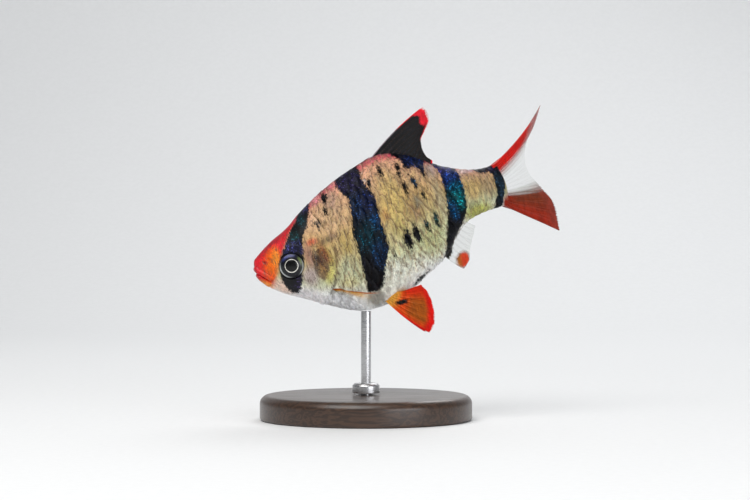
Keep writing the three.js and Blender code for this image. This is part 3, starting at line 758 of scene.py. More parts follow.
def make_piece(name: str, points: Array, faces: Sequence[Sequence[int]]) -> bpy.types.Object:
    """A smooth-shaded mesh object at the origin, with its faces turned outwards.

    Args:
        name: The object's name.
        points: Its vertices, in metres, in a last axis of three.
        faces: Vertex numbers for each face.

    Returns:
        The new object, linked to the scene.
    """
    mesh = bpy.data.meshes.new(name)
    mesh.from_pydata(points.reshape(-1, 3).tolist(), [], [list(map(int, face)) for face in faces])
    measured = bmesh.new()
    measured.from_mesh(mesh)
    if measured.calc_volume(signed=True) < 0:
        mesh.flip_normals()
    measured.free()
    mesh.polygons.foreach_set("use_smooth", np.ones(len(mesh.polygons), bool))
    mesh.update()
    made = bpy.data.objects.new(name, mesh)
    bpy.context.scene.collection.objects.link(made)
    log.info("%s: %d vertices, %d faces", name, len(mesh.vertices), len(mesh.polygons))
    return made


def paint(piece: bpy.types.Object, name: str, values: Array, vector: bool = False) -> None:
    """Stores one number, one colour or one vector a vertex under a name.

    Args:
        piece: The mesh object.
        name: The attribute's name.
        values: One number a vertex, or three for a colour or a vector, in vertex order.
        vector: Whether three numbers are a vector and not a colour.
    """
    if vector:
        layer = piece.data.attributes.new(name, "FLOAT_VECTOR", "POINT")
        layer.data.foreach_set("vector", values.reshape(-1, 3).astype(np.float32).ravel())
    elif values.ndim > 1 and values.shape[-1] == 3:
        layer = piece.data.attributes.new(name, "FLOAT_COLOR", "POINT")
        flat = values.reshape(-1, 3)
        layer.data.foreach_set("color", np.hstack([flat, np.ones((len(flat), 1))]).astype(np.float32).ravel())
    else:
        layer = piece.data.attributes.new(name, "FLOAT", "POINT")
        layer.data.foreach_set("value", values.ravel().astype(np.float32))


def unwrap(piece: bpy.types.Object, name: str, places: Array) -> None:
    """Adds a UV map that gives each face corner its vertex's place.

    Args:
        piece: The mesh object.
        name: The map's name.
        places: One pair a vertex, in vertex order.
    """
    corners = np.zeros(len(piece.data.loops), dtype=np.int32)
    piece.data.loops.foreach_get("vertex_index", corners)
    layer = piece.data.uv_layers.new(name=name)
    layer.data.foreach_set("uv", places.reshape(-1, 2)[corners].astype(np.float32).ravel())


# Materials


class Graph:
    """A node tree that is filled by short calls. A value may be a number, a colour or another socket."""

    def __init__(self, tree: bpy.types.NodeTree) -> None:
        """Keeps the tree and empties it."""
        self.tree = tree
        tree.nodes.clear()

    def add(
        self, kind: str, values: Mapping[str | int, Any] | None = None, **settings: Any
    ) -> bpy.types.Node:
        """One node with its settings and inputs set.

        Args:
            kind: Blender's name for the node.
            values: What each input gets.
            **settings: The node's own properties.

        Returns:
            The node.
        """
        node = self.tree.nodes.new(kind)
        for key, value in settings.items():
            setattr(node, key, value)
        for key, value in (values or {}).items():
            if isinstance(value, bpy.types.NodeSocket):
                self.tree.links.new(value, node.inputs[key])
            else:
                node.inputs[key].default_value = value
        return node

    def math(self, operation: str, *values: Any) -> bpy.types.NodeSocket:
        """One Math node's result."""
        return self.add("ShaderNodeMath", dict(enumerate(values)), operation=operation).outputs[0]

    def times(self, *values: Any) -> bpy.types.NodeSocket:
        """The product of all the values.

        Args:
            values: Sockets or numbers.

        Returns:
            The product's socket.
        """
        product = values[0]
        for value in values[1:]:
            product = self.math("MULTIPLY", product, value)
        return product

    def mix(self, share: Any, first: Any, second: Any) -> bpy.types.NodeSocket:
        """Two colours mixed by a share."""
        values = {0: share, 6: first, 7: second}
        return self.add("ShaderNodeMix", values, data_type="RGBA").outputs[2]

    def toned(self, colour: Any, tone: Any) -> bpy.types.NodeSocket:
        """A colour made brighter or darker by a factor."""
        values = {0: colour, "Scale": tone}
        return self.add("ShaderNodeVectorMath", values, operation="SCALE").outputs[0]

    def ramp(
        self, value: Any, low: float, high: float, start: float = 0.0, end: float = 1.0
    ) -> bpy.types.NodeSocket:
        """A value mapped smoothly from low..high to start..end."""
        values = {"Value": value, "From Min": low, "From Max": high, "To Min": start, "To Max": end}
        return self.add("ShaderNodeMapRange", values, interpolation_type="SMOOTHSTEP").outputs[0]

    def stretched(self, vector: Any, x: float, y: float, z: float) -> bpy.types.NodeSocket:
        """A vector scaled along each axis."""
        return self.add("ShaderNodeMapping", {"Vector": vector, "Scale": (x, y, z)}).outputs[0]

    def away(self, vector: Any, place: Sequence[float], height: float) -> bpy.types.NodeSocket:
        """How far a vector lies from a place, with the way upwards scaled by height.

        Args:
            vector: The vector's socket.
            place: The place, as three numbers.
            height: How much a way upwards counts, beside one along or across.

        Returns:
            The distance's socket.
        """
        offset = self.add("ShaderNodeVectorMath", {0: vector, 1: place}, operation="SUBTRACT").outputs[0]
        reach = self.stretched(offset, 1.0, 1.0, height)
        return self.add("ShaderNodeVectorMath", {0: reach}, operation="LENGTH").outputs["Value"]

    def noise(self, vector: Any, scale: float, detail: float = 2.0) -> bpy.types.NodeSocket:
        """A cloudy noise value at a scale given in cycles a unit."""
        values = {"Vector": vector, "Scale": scale, "Detail": detail}
        return self.add("ShaderNodeTexNoise", values).outputs[0]

    def attribute(self, name: str, output: str = "Fac") -> bpy.types.NodeSocket:
        """A vertex attribute of the piece's own: Fac for a number, Color, or Vector."""
        return self.add("ShaderNodeAttribute", attribute_name=name).outputs[output]

    def uv(self, name: str) -> tuple[bpy.types.NodeSocket, bpy.types.NodeSocket]:
        """The two coordinates of one of the piece's own UV maps.

        Args:
            name: The UV map's name.

        Returns:
            The sockets of both coordinates.
        """
        spot = self.add("ShaderNodeUVMap", uv_map=name).outputs[0]
        split = self.add("ShaderNodeSeparateXYZ", {0: spot})
        return split.outputs[0], split.outputs[1]

    def millimetres(self) -> bpy.types.NodeSocket:
        """Object coordinates in millimetres."""
        place = self.add("ShaderNodeTexCoord").outputs["Object"]
        return self.add("ShaderNodeVectorMath", {0: place, "Scale": 1 / MM}, operation="SCALE").outputs[0]

    def bump(self, height: Any, depth_mm: float, strength: float = 1.0) -> bpy.types.NodeSocket:
        """A normal bent by a height, which is given as a share of a depth in millimetres."""
        values = {"Strength": strength, "Distance": depth_mm * MM, "Height": height}
        return self.add("ShaderNodeBump", values).outputs[0]

    def surface(self, **values: Any) -> None:
        """The principled shader and the output. An underscore in a name stands for a space."""
        named = {key.replace("_", " "): value for key, value in values.items()}
        shader = self.add("ShaderNodeBsdfPrincipled", named)
        self.add("ShaderNodeOutputMaterial", {"Surface": shader.outputs[0]})


def new_group(
    name: str, inputs: Mapping[str, str], outputs: Mapping[str, str]
) -> tuple[Graph, bpy.types.Node, bpy.types.Node]:
    """An empty node group with named sockets.

    Args:
        name: The group's name.
        inputs: Socket names and their types: Float, Color or Vector.
        outputs: The same for what it puts out.

    Returns:
        The group's graph, the node that brings its inputs, and the node that takes its outputs.
    """
    tree = bpy.data.node_groups.new(name, "ShaderNodeTree")
    for sockets, way in ((inputs, "INPUT"), (outputs, "OUTPUT")):
        for socket, kind in sockets.items():
            tree.interface.new_socket(name=socket, in_out=way, socket_type=f"NodeSocket{kind}")
    graph = Graph(tree)
    return graph, graph.add("NodeGroupInput"), graph.add("NodeGroupOutput")


def pigment_group() -> bpy.types.NodeTree:
    """Living colour: a streaked and flecked tint, and dark marks with ragged edges and bright grains.

    The dark marks are the bands, whose gap is given, and the spots, ovals worked out here.

    Returns:
        The node group, whose outputs are the colour and the share of dark.
    """
    graph, given, out = new_group(
        "barb_pigment",
        {"Tint": "Color", "Night": "Color", "Dark Gap": "Float", "Fish": "Vector", "Flesh": "Float"},
        {"Color": "Color", "Dark": "Float"},
    )
    fish = given.outputs["Fish"]
    streaky = graph.stretched(fish, 1.0, 1.0, 0.3)
    gap = given.outputs["Dark Gap"]
    flat = graph.stretched(fish, 1.0, 0.0, 1.0)
    for at_s, at_t, half_along, half_up in Markings.spots:
        half_along, half_up = half_along + 0.08, half_up + 0.12
        length = graph.away(flat, (at_s, 0, at_t), half_along / half_up)
        gap = graph.math("MINIMUM", gap, graph.math("SUBTRACT", length, half_along))
    coarse = graph.math("SUBTRACT", graph.noise(streaky, 1.3, 4), 0.5)
    fine = graph.math("SUBTRACT", graph.noise(streaky, 5.5, 3), 0.5)
    ragged = graph.math("ADD", graph.times(coarse, 0.7), graph.times(fine, 1.1))
    dark = graph.ramp(graph.math("ADD", gap, ragged), -0.17, 0.17, 1.0, 0.0)

    tone = graph.times(
        graph.ramp(graph.noise(streaky, 2.4, 4), 0.3, 0.7, 0.72, 1.08),
        graph.ramp(graph.noise(fish, 8.0, 2), 0.35, 0.7, 0.84, 1.1),
    )
    tint = graph.toned(given.outputs["Tint"], tone)
    thready = graph.stretched(fish, 1.0, 1.0, 0.14)
    place = graph.add("ShaderNodeSeparateXYZ", {0: fish})
    forward = graph.times(graph.math("MINIMUM", place.outputs[0], 14.0), 0.5)
    above = graph.ramp(graph.math("ADD", place.outputs[2], forward), -3.4, -0.8, 0.12, 1.0)
    busy = graph.times(above, given.outputs["Flesh"])
    trunk = graph.times(graph.ramp(place.outputs[0], 10.0, 13.0), busy)
    cheek = graph.times(graph.ramp(graph.away(flat, CHEEK_AT, 0.7), 2.6, 1.1), given.outputs["Flesh"])
    # Each wash: its mask, its noise's vector and scale, where the noise starts and fills, share and colour
    washes = (
        (cheek, streaky, 4.2, 0.52, 0.62, 0.35, (0.36, 0.16, 0.07, 1)),
        (cheek, fish, 3.4, 0.52, 0.6, 0.75, (0.035, 0.016, 0.014, 1)),
        (cheek, fish, 6.0, 0.58, 0.66, 0.4, (0.5, 0.36, 0.18, 1)),
        (trunk, thready, 2.1, 0.5, 0.66, 0.32, (0.5, 0.37, 0.14, 1)),
        (trunk, streaky, 3.1, 0.54, 0.72, 0.3, (0.6, 0.27, 0.16, 1)),
        (busy, thready, 3.6, 0.52, 0.66, 0.66, (0.11, 0.065, 0.04, 1)),
        (busy, streaky, 6.5, 0.57, 0.66, 0.6, (0.06, 0.03, 0.03, 1)),
    )
    for where, vector, scale, low, high, share, shade in washes:
        spread = graph.times(graph.ramp(graph.noise(vector, scale, 3), low, high), where, share)
        tint = graph.mix(spread, tint, shade)

    cells = graph.add("ShaderNodeTexVoronoi", {"Vector": fish, "Scale": 4.4}, feature="F1")
    chance = graph.add("ShaderNodeSeparateColor", {0: cells.outputs["Color"]})
    grain = graph.times(
        graph.ramp(chance.outputs[0], 0.4, 1.0), graph.ramp(cells.outputs["Distance"], 0.6, 0.1)
    )
    clouds = graph.ramp(graph.noise(streaky, 1.6, 4), 0.35, 0.7, 0.22, 1.0)
    glitter = graph.math("ADD", graph.times(grain, 6.5), 0.5)
    night = graph.toned(given.outputs["Night"], graph.times(clouds, glitter))
    colour = graph.mix(dark, tint, night)
    graph.tree.links.new(colour, out.inputs["Color"])
    graph.tree.links.new(dark, out.inputs["Dark"])
    return graph.tree


@dataclass(frozen=True)
class Finish:
    """What every finish has: a name and a way to make its material."""

    name: str

    def graph(self) -> tuple[bpy.types.Material, Graph]:
        """A new material with an empty node tree.

        Returns:
            The material and the graph that adds to its nodes.
        """
        material = bpy.data.materials.new(self.name)
        material.use_nodes = True
        return material, Graph(material.node_tree)

    def flank_share(self, graph: Graph) -> bpy.types.NodeSocket:
        """How flank-like a place is: 1 on the side, little on the white belly and the tail stem.

        Args:
            graph: The graph that the nodes go to.

        Returns:
            The share's socket.
        """
        split = graph.add("ShaderNodeSeparateXYZ", {0: graph.attribute("fish", "Vector")})
        above = graph.ramp(split.outputs[2], -9.8, -6.5, 0.25, 1.0)
        return graph.times(above, graph.ramp(split.outputs[0], 33.0, 38.0, 1.0, 0.55))

    def pigment(self, graph: Graph, flesh: float = 1.0) -> bpy.types.Node:
        """The pigment group, fed from the piece's own attributes. Fins have no flesh, so no mottling.

        Args:
            graph: The graph that the nodes go to.
            flesh: How much mottling shows, from 0 to 1.

        Returns:
            The group's node.
        """
        tree = bpy.data.node_groups.get("barb_pigment") or pigment_group()
        node = graph.add("ShaderNodeGroup", node_tree=tree)
        values = {
            "Tint": graph.attribute("tint", "Color"),
            "Night": graph.attribute("night", "Color"),
            "Dark Gap": graph.attribute("dark_gap"),
            "Fish": graph.attribute("fish", "Vector"),
        }
        node.inputs["Flesh"].default_value = flesh
        for key, value in values.items():
            graph.tree.links.new(value, node.inputs[key])
        return node


@dataclass(frozen=True)
class SkinFinish(Finish):
    """Moist bare skin, as on the head and between the scales."""

    roughness: float = 0.4
    coat: float = 0.15

    def material(self) -> bpy.types.Material:
        """Builds the material.

        Returns:
            The material.
        """
        made, graph = self.graph()
        pigment = self.pigment(graph)
        pores = graph.noise(graph.attribute("fish", "Vector"), 6.0, 3)
        rough = graph.ramp(pores, 0.3, 0.7, self.roughness - 0.06, self.roughness + 0.12)
        graph.surface(
            Base_Color=pigment.outputs["Color"], Roughness=rough, Coat_Weight=self.coat,
            Specular_IOR_Level=0.2, Coat_Roughness=0.15,
            Subsurface_Weight=0.1, Subsurface_Radius=(1.0, 0.5, 0.35),
            Subsurface_Scale=0.35 * MM, Normal=graph.bump(pores, 0.035, 0.8),
        )
        return made


@dataclass(frozen=True)
class ScaleFinish(Finish):
    """A scale: stain and painted shade where it comes out from under the next ones, fine grooves, a painted
    highlight on its pale edge.
    """

    roughness: float = 0.4
    coat: float = 0.04
    groove_count: float = 95.0

    def material(self) -> bpy.types.Material:
        """Builds the material.

        Returns:
            The material.
        """
        made, graph = self.graph()
        pigment = self.pigment(graph)
        fish = graph.attribute("fish", "Vector")
        along, across = graph.uv("scale_map")
        off = graph.math("ABSOLUTE", graph.math("SUBTRACT", across, 0.5))
        cover = graph.ramp(off, 0.08, 0.26, 0.5, 0.73)
        waver = graph.times(graph.math("SUBTRACT", graph.noise(fish, 3.2, 4), 0.5), 0.16)
        bared = graph.math("ADD", graph.math("SUBTRACT", along, cover), waver)
        # Where the scale comes out from under its neighbours its colour goes towards brown: partly the
        # scale's own stain, partly painted shade under the overlapping scales' edges.
        stain_and_shade = graph.ramp(bared, 0.02, 0.17, 1.0, 0.0)
        # Along the free edge the colour is lifted towards pale gold: partly the scale's thin pale margin,
        # partly a painted highlight.
        edge = graph.ramp(along, 0.93, 0.99)
        lit = graph.math("SUBTRACT", 1.0, pigment.outputs["Dark"])
        strong = graph.times(stain_and_shade, lit, self.flank_share(graph), 0.55)
        base = graph.mix(strong, pigment.outputs["Color"], (0.11, 0.065, 0.04, 1))
        base = graph.mix(graph.times(edge, lit, 0.12), base, (0.85, 0.78, 0.6, 1))
        chance = graph.attribute("chance")
        base = graph.toned(base, graph.ramp(chance, 0.0, 1.0, 0.93, 1.06))
        fan = graph.math("DIVIDE", graph.math("SUBTRACT", across, 0.5), graph.math("ADD", along, 0.45))
        wavy = graph.math("ADD", fan, graph.times(graph.noise(fish, 2.0, 2), 0.05))
        comb = graph.math("SINE", graph.times(wavy, self.groove_count))
        grooves = graph.math("ADD", comb, graph.noise(fish, 7.0, 3))
        rough = graph.ramp(chance, 0.0, 1.0, self.roughness - 0.08, self.roughness + 0.1)
        graph.surface(
            Base_Color=base, Roughness=rough, Coat_Weight=self.coat, Coat_Roughness=0.2,
            Specular_IOR_Level=0.1,
            Subsurface_Weight=0.06, Subsurface_Radius=(1.0, 0.6, 0.4), Subsurface_Scale=0.3 * MM,
            Normal=graph.bump(grooves, 0.022, 0.8),
        )
        return made


@dataclass(frozen=True)
class FinFinish(Finish):
    """A thin membrane with jointed rays, clear where it has no pigment."""

    roughness: float = 0.4
    joint_count: float = 18.0

    def material(self) -> bpy.types.Material:
        """Builds the material.

        Returns:
            The material.
        """
        made, graph = self.graph()
        pigment = self.pigment(graph, 0.0)
        ray = graph.attribute("ray")
        _, out = graph.uv("fin_map")
        joints = graph.math("SINE", graph.times(out, self.joint_count))
        joint = graph.times(graph.ramp(joints, 0.75, 1.0), ray)
        base = graph.mix(graph.times(joint, 0.25), pigment.outputs["Color"], (0.25, 0.1, 0.05, 1))
        body = graph.math("ADD", graph.times(ray, 0.4), 0.6)
        alpha = graph.times(graph.attribute("opacity"), body)
        alpha = graph.math("MAXIMUM", alpha, graph.times(pigment.outputs["Dark"], 0.97))
        alpha = graph.math("MAXIMUM", alpha, graph.ramp(graph.attribute("opacity"), 0.75, 1.0))
        graph.surface(
            Base_Color=base, Roughness=self.roughness, Specular_IOR_Level=0.15, Alpha=alpha,
            Subsurface_Weight=0.1, Subsurface_Radius=(1.0, 0.4, 0.2), Subsurface_Scale=0.3 * MM,
            Normal=graph.bump(graph.times(joints, ray), 0.01, 0.4),
        )
        return made


@dataclass(frozen=True)
class EyeFinish(Finish):
    """A wet eye: painted iris and pupil under a clear, sharp gloss."""

    def material(self) -> bpy.types.Material:
        """Builds the material.

        Returns:
            The material.
        """
        made, graph = self.graph()
        threads = graph.noise(graph.attribute("fish", "Vector"), 9.0, 3)
        base = graph.toned(graph.attribute("tint", "Color"), graph.ramp(threads, 0.3, 0.7, 0.7, 1.25))
        rough = graph.ramp(threads, 0.3, 0.7, 0.25, 0.36)
        graph.surface(
            Base_Color=base, Roughness=rough, Specular_IOR_Level=0.2, Coat_Weight=0.3, Coat_Roughness=0.03,
        )
        return made


@dataclass(frozen=True)
class WoodFinish(Finish):
    """Dark stained hardwood, its grain running along X."""

    dark: Sequence[float] = (0.016, 0.009, 0.006, 1)
    light: Sequence[float] = (0.075, 0.038, 0.022, 1)
    ring_count: float = 34.0

    def material(self) -> bpy.types.Material:
        """Builds the material.

        Returns:
            The material.
        """
        made, graph = self.graph()
        place = graph.millimetres()
        rings = graph.noise(graph.stretched(place, 0.07, 1.0, 1.0), 0.9, 4)
        fibre = graph.noise(graph.stretched(place, 0.12, 4.0, 4.0), 1.6, 3)
        bands = graph.ramp(graph.math("SINE", graph.times(rings, self.ring_count)), -1.0, 1.0)
        figure = graph.math("ADD", graph.times(bands, 0.5), graph.times(fibre, 0.5))
        graph.surface(
            Base_Color=graph.mix(figure, self.dark, self.light),
            Roughness=graph.ramp(fibre, 0.3, 0.7, 0.3, 0.44),
            Coat_Weight=0.25, Coat_Roughness=0.2, Normal=graph.bump(fibre, 0.03, 0.35),
        )
        return made


@dataclass(frozen=True)
class SteelFinish(Finish):
    """Brushed steel, its brush marks running round the upright axis."""

    def material(self) -> bpy.types.Material:
        """Builds the material.

        Returns:
            The material.
        """
        made, graph = self.graph()
        brush = graph.noise(graph.stretched(graph.millimetres(), 0.4, 0.4, 14.0), 2.2, 4)
        base = graph.mix(graph.ramp(brush, 0.3, 0.7), (0.5, 0.5, 0.51, 1), (0.68, 0.68, 0.69, 1))
        rough = graph.ramp(brush, 0.3, 0.7, 0.22, 0.38)
        graph.surface(Base_Color=base, Metallic=1.0, Roughness=rough, Normal=graph.bump(brush, 0.01, 0.5))
        return made


@dataclass(frozen=True)
class PaperFinish(Finish):
    """Plain pale studio paper."""

    shade: Sequence[float] = (0.82, 0.83, 0.84)

    def material(self) -> bpy.types.Material:
        """Builds the material.

        Returns:
            The material.
        """
        made, graph = self.graph()
        tooth = graph.noise(graph.millimetres(), 0.8, 3)
        base = graph.toned(self.shade, graph.ramp(tooth, 0.3, 0.7, 0.99, 1.01))
        graph.surface(Base_Color=base, Roughness=0.9)
        return made


# The fish's pieces


def settle(piece: bpy.types.Object, material: bpy.types.Material, slot: str, *nodes: str) -> None:
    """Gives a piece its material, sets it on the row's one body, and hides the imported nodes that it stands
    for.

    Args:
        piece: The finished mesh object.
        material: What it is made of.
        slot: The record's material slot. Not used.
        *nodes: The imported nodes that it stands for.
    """
    piece.data.materials.append(material)
    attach(piece, "root")
    if nodes:
        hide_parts(*nodes)


@dataclass(frozen=True)
class Skin:
    """One closed skin from snout to tail, with the head's relief worked into it."""

    body: BodyForm
    markings: Markings
    angles: int = 200
    bare_lift: float = -0.02
    coat_depth: float = 0.12
    cover_rise: float = 0.14
    socket_depth: float = 0.8
    lip_radius: float = 0.38

    def stations(self) -> Array:
        """Spine marks, close together on the snout and head and wider on the trunk.

        Returns:
            The marks in order from the snout, in millimetres.
        """
        snout = 0.004 + 0.6 * np.linspace(0, 1, 16) ** 2
        head = np.arange(0.65, 3, 0.055)
        cheek = np.arange(3, 13.4, 0.075)
        trunk = np.arange(13.4, self.body.pose.standard_length, 0.15)
        end = self.body.pose.standard_length + self.body.tail_rounding * np.sin(np.linspace(0, 1.5, 12))
        return np.concatenate([snout, head, cheek, trunk, end])

    def relief(self, s: Array, t: Array) -> Array:
        """How far the skin stands out from the plain form: the sum of the head's raised and sunk shapes.

        Args:
            s: Distances along the spine.
            t: Heights, in the same shape.

        Returns:
            The lift in millimetres.
        """
        behind = s - head_edge(t)
        lift = self.bare_lift - (self.coat_depth + self.bare_lift) * smoothstep(-0.3, 0.2, behind)
        on_head = s < 15
        hs, ht = s[on_head], t[on_head]
        front = path(GILL_COVER_FRONT, np.linspace(0, 1, 40))
        rear_t = np.linspace(ht.min() - 1, GILL_COVER_FRONT[0][1], 40)
        rear = np.stack([head_edge(rear_t), rear_t], axis=-1)
        cover = gap_to(np.vstack([front, rear[::-1]]), hs, ht)
        edge = distance_to(rear, hs, ht)
        relief = self.cover_rise * smoothstep(0.08, -0.16, cover)
        relief -= 0.12 * hump(distance_to(front, hs, ht), 0.1)
        relief += 0.07 * hump(edge, 0.3) * (cover < 0) - 0.1 * hump(edge - 0.12, 0.1) * (cover > 0)
        relief += 0.1 * hump(distance_to(path(CHEEK_RIDGE, np.linspace(0, 1, 30)), hs, ht), 0.2)
        for lip, rise in ((UPPER_LIP, 0.15), (LOWER_LIP, 0.14)):
            away = distance_to(np.array(lip), hs, ht)
            relief += rise * np.sqrt(np.maximum(1 - (away / self.lip_radius) ** 2, 0))
            relief -= 0.05 * hump(away - self.lip_radius - 0.1, 0.08)
        relief -= 0.32 * hump(distance_to(path(MOUTH_LINE, np.linspace(0.25, 1, 20)), hs, ht), 0.08)
        for crease in (0.42, 0.8):
            line = np.array(path(MOUTH_LINE, np.linspace(0.35, 0.95, 12))) + crease * np.array([0.75, 0.66])
            relief -= 0.09 * hump(distance_to(line, hs, ht), 0.07)
        relief -= 0.06 * hump(distance_to(path(JAW_FOLD, np.linspace(0, 1, 20)), hs, ht), 0.12)
        for at_s, at_t, radius in NOSTRILS:
            relief -= 0.3 * hump(np.hypot(hs - at_s, ht - at_t), radius)
        relief += 0.14 * hump(np.hypot(hs - NOSTRIL_FLAP[0], ht - NOSTRIL_FLAP[1]), NOSTRIL_FLAP[2])
        from_eye = np.hypot(hs - EYE_AT[0], ht - EYE_AT[1])
        relief -= self.socket_depth * smoothstep(EYE_RADIUS + 0.06, EYE_RADIUS - 0.22, from_eye)
        relief += 0.08 * hump(from_eye - EYE_RADIUS - 0.22, 0.14)
        for fold in EYE_FOLDS:
            relief += 0.07 * hump(from_eye - EYE_RADIUS - fold, 0.08) * smoothstep(0.3, 1.2, ht - EYE_AT[1])
        lift[on_head] += relief
        return lift

    def build(self, material: bpy.types.Material) -> bpy.types.Object:
        """Makes the skin: rings of the body's surface moved by the relief, closed by a point at each end.

        Args:
            material: The piece's material.

        Returns:
            The mesh object.
        """
        turn = np.arange(self.angles) / self.angles * 2 * math.pi
        s, angle = np.meshgrid(self.stations(), turn, indexing="ij")
        v, t = self.body.section(s, angle)
        points = self.body.surface(s, angle, self.relief(s, t))
        rows, columns = s.shape
        poles = points[[0, -1]].mean(axis=1)
        vertices = np.vstack([points.reshape(-1, 3), poles])
        faces = grid_quads(rows, columns, closed=True).tolist() + pole_fans(rows, columns)
        piece = make_piece("skin", vertices, faces)
        ends = (s[[0, -1], 0], np.zeros(2), t[[0, -1]].mean(axis=1))
        self.markings.dress(piece, *(np.append(x.ravel(), end) for x, end in zip((s, v, t), ends)))
        flesh = ("head", "lower_jaw", "gill_cover_left", "gill_cover_right", "trunk", "tail_stem")
        settle(piece, material, "head_skin", *flesh)
        return piece


@dataclass(frozen=True)
class ScaleCoat:
    """The scales: thin plates in staggered rows that overlap towards the tail."""

    body: BodyForm
    markings: Markings
    column_gap: float = 1.7
    row_gap: float = 1.95
    length: float = 3.4
    height: float = 3.7
    slope: float = 0.065
    thickness: float = 0.035
    bake_patch: float = 0.003
    along: int = 4
    across: int = 9

    def size_at(self, s: Array) -> Array:
        """How large a scale is at s: full on the flank, smaller on the nape, breast and tail stem."""
        return curve(((8, 0.54), (11, 0.72), (15, 0.92), (20, 1.0), (28, 1.0), (36, 0.8), (44, 0.6)), s)

    def roots(self) -> tuple[Array, Array, Array]:
        """Where the free edges' middles lie: rows run along the body, and every other row is half a step on.

        Returns:
            Spine distances, ways down from the back, and sides.
        """
        columns = [7.0]
        while columns[-1] < self.body.end:
            columns.append(columns[-1] + self.column_gap * float(self.size_at(columns[-1])))
        base = np.array(columns)
        rows = np.arange(-9, 10)
        s, row = np.meshgrid(base, rows, indexing="ij")
        s = s + (np.abs(row) % 2) * 0.5 * self.column_gap * self.size_at(s)
        arc = self.body.widest_arc(s) + row * self.row_gap * self.size_at(s)
        _, t = self.body.section(s, self.body.angle_at(s, np.clip(arc, 0, self.body.half_girth(s))))
        slack = 0.35 * self.row_gap * self.size_at(s)
        kept = (arc > -slack) & (arc < self.body.half_girth(s) + slack) & (s < self.body.end - 0.35)
        kept &= s > head_edge(t) + 0.45
        s, arc = s[kept], arc[kept]
        return np.tile(s, 2), np.tile(arc, 2), np.repeat([LEFT, RIGHT], len(s))

    def build(self, material: bpy.types.Material) -> bpy.types.Object:
        """Makes every scale at once: a rounded plate that climbs from under the skin to its free edge.

        Along its length a runs from 0.3 to 1 at the free edge, and across it b runs from -1 to 1. The
        edge is an ellipse, the plate sinks by the slope towards its root, and its middle is crowned.

        Args:
            material: The piece's material.

        Returns:
            The mesh object.
        """
        chance = np.random.default_rng(SEED)
        edge_s, edge_arc, side = (x[:, None, None] for x in self.roots())
        count = len(edge_s)
        size = self.size_at(edge_s)
        lottery = chance.random((count, 1, 1))
        tilt = chance.normal(0, 0.012, (count, 1, 1))
        a = np.linspace(0.3, 1, self.along)[None, :, None]
        b = np.linspace(-1, 1, self.across)[None, None, :]
        rounding = 1 - np.sqrt(1 - (0.96 * b) ** 2)
        back_off = self.length * size * ((1 - a) + 0.3 * rounding * a)
        s = np.minimum(edge_s + 0.12 * (lottery - 0.5) - back_off, self.body.end - 0.1)
        widen = 0.72 + 0.28 * smoothstep(0.2, 0.75, a)
        arc = edge_arc + b * self.height / 2 * size * widen
        angle = self.body.angle_at(s, arc)
        angle = np.where(side == LEFT, angle, -angle)
        lift = -self.slope * back_off - 0.1 * b**2 * size + tilt * b
        top = self.body.surface(s, angle, lift)
        under = self.body.surface(s, angle, lift - self.thickness)
        v, t = self.body.section(s, angle)
        rows, columns = self.along, self.across
        rim = grid_rim(rows, columns)
        vertices = np.concatenate([top.reshape(count, -1, 3), under.reshape(count, -1, 3)[:, rim]], axis=1)
        low = rows * columns + np.arange(len(rim))
        walls = np.stack([rim, low, np.roll(low, -1), np.roll(rim, -1)], axis=-1)
        top_faces = grid_quads(rows, columns)[:, ::-1].tolist()
        plate = [*top_faces, *walls[:, ::-1].tolist(), low.tolist()]
        per = vertices.shape[1]
        faces = [[v + per * k for v in face] for k in range(count) for face in plate]
        piece = make_piece("scales", vertices, faces)

        def with_rim(values: Array) -> Array:
            """The top grid's values with those of its rim added for the lower ring."""
            flat = np.broadcast_to(values, s.shape).reshape(count, -1)
            return np.concatenate([flat, flat[:, rim]], axis=1)

        self.markings.dress(piece, with_rim(s), with_rim(v), with_rim(t))
        paint(piece, "chance", with_rim(lottery))
        unwrap(piece, "scale_map", np.stack([with_rim(a), with_rim((b + 1) / 2)], axis=-1))
        root = np.stack([edge_s / (self.body.end + 1), 0.5 - side * edge_arc / 60], axis=-1)
        local = np.stack([with_rim(a) - 0.5, with_rim(b) / 2], axis=-1) * self.bake_patch
        unwrap(piece, "OFBake", root.reshape(count, 1, 2) + local)
        settle(piece, material, "scaled_skin")
        return piece


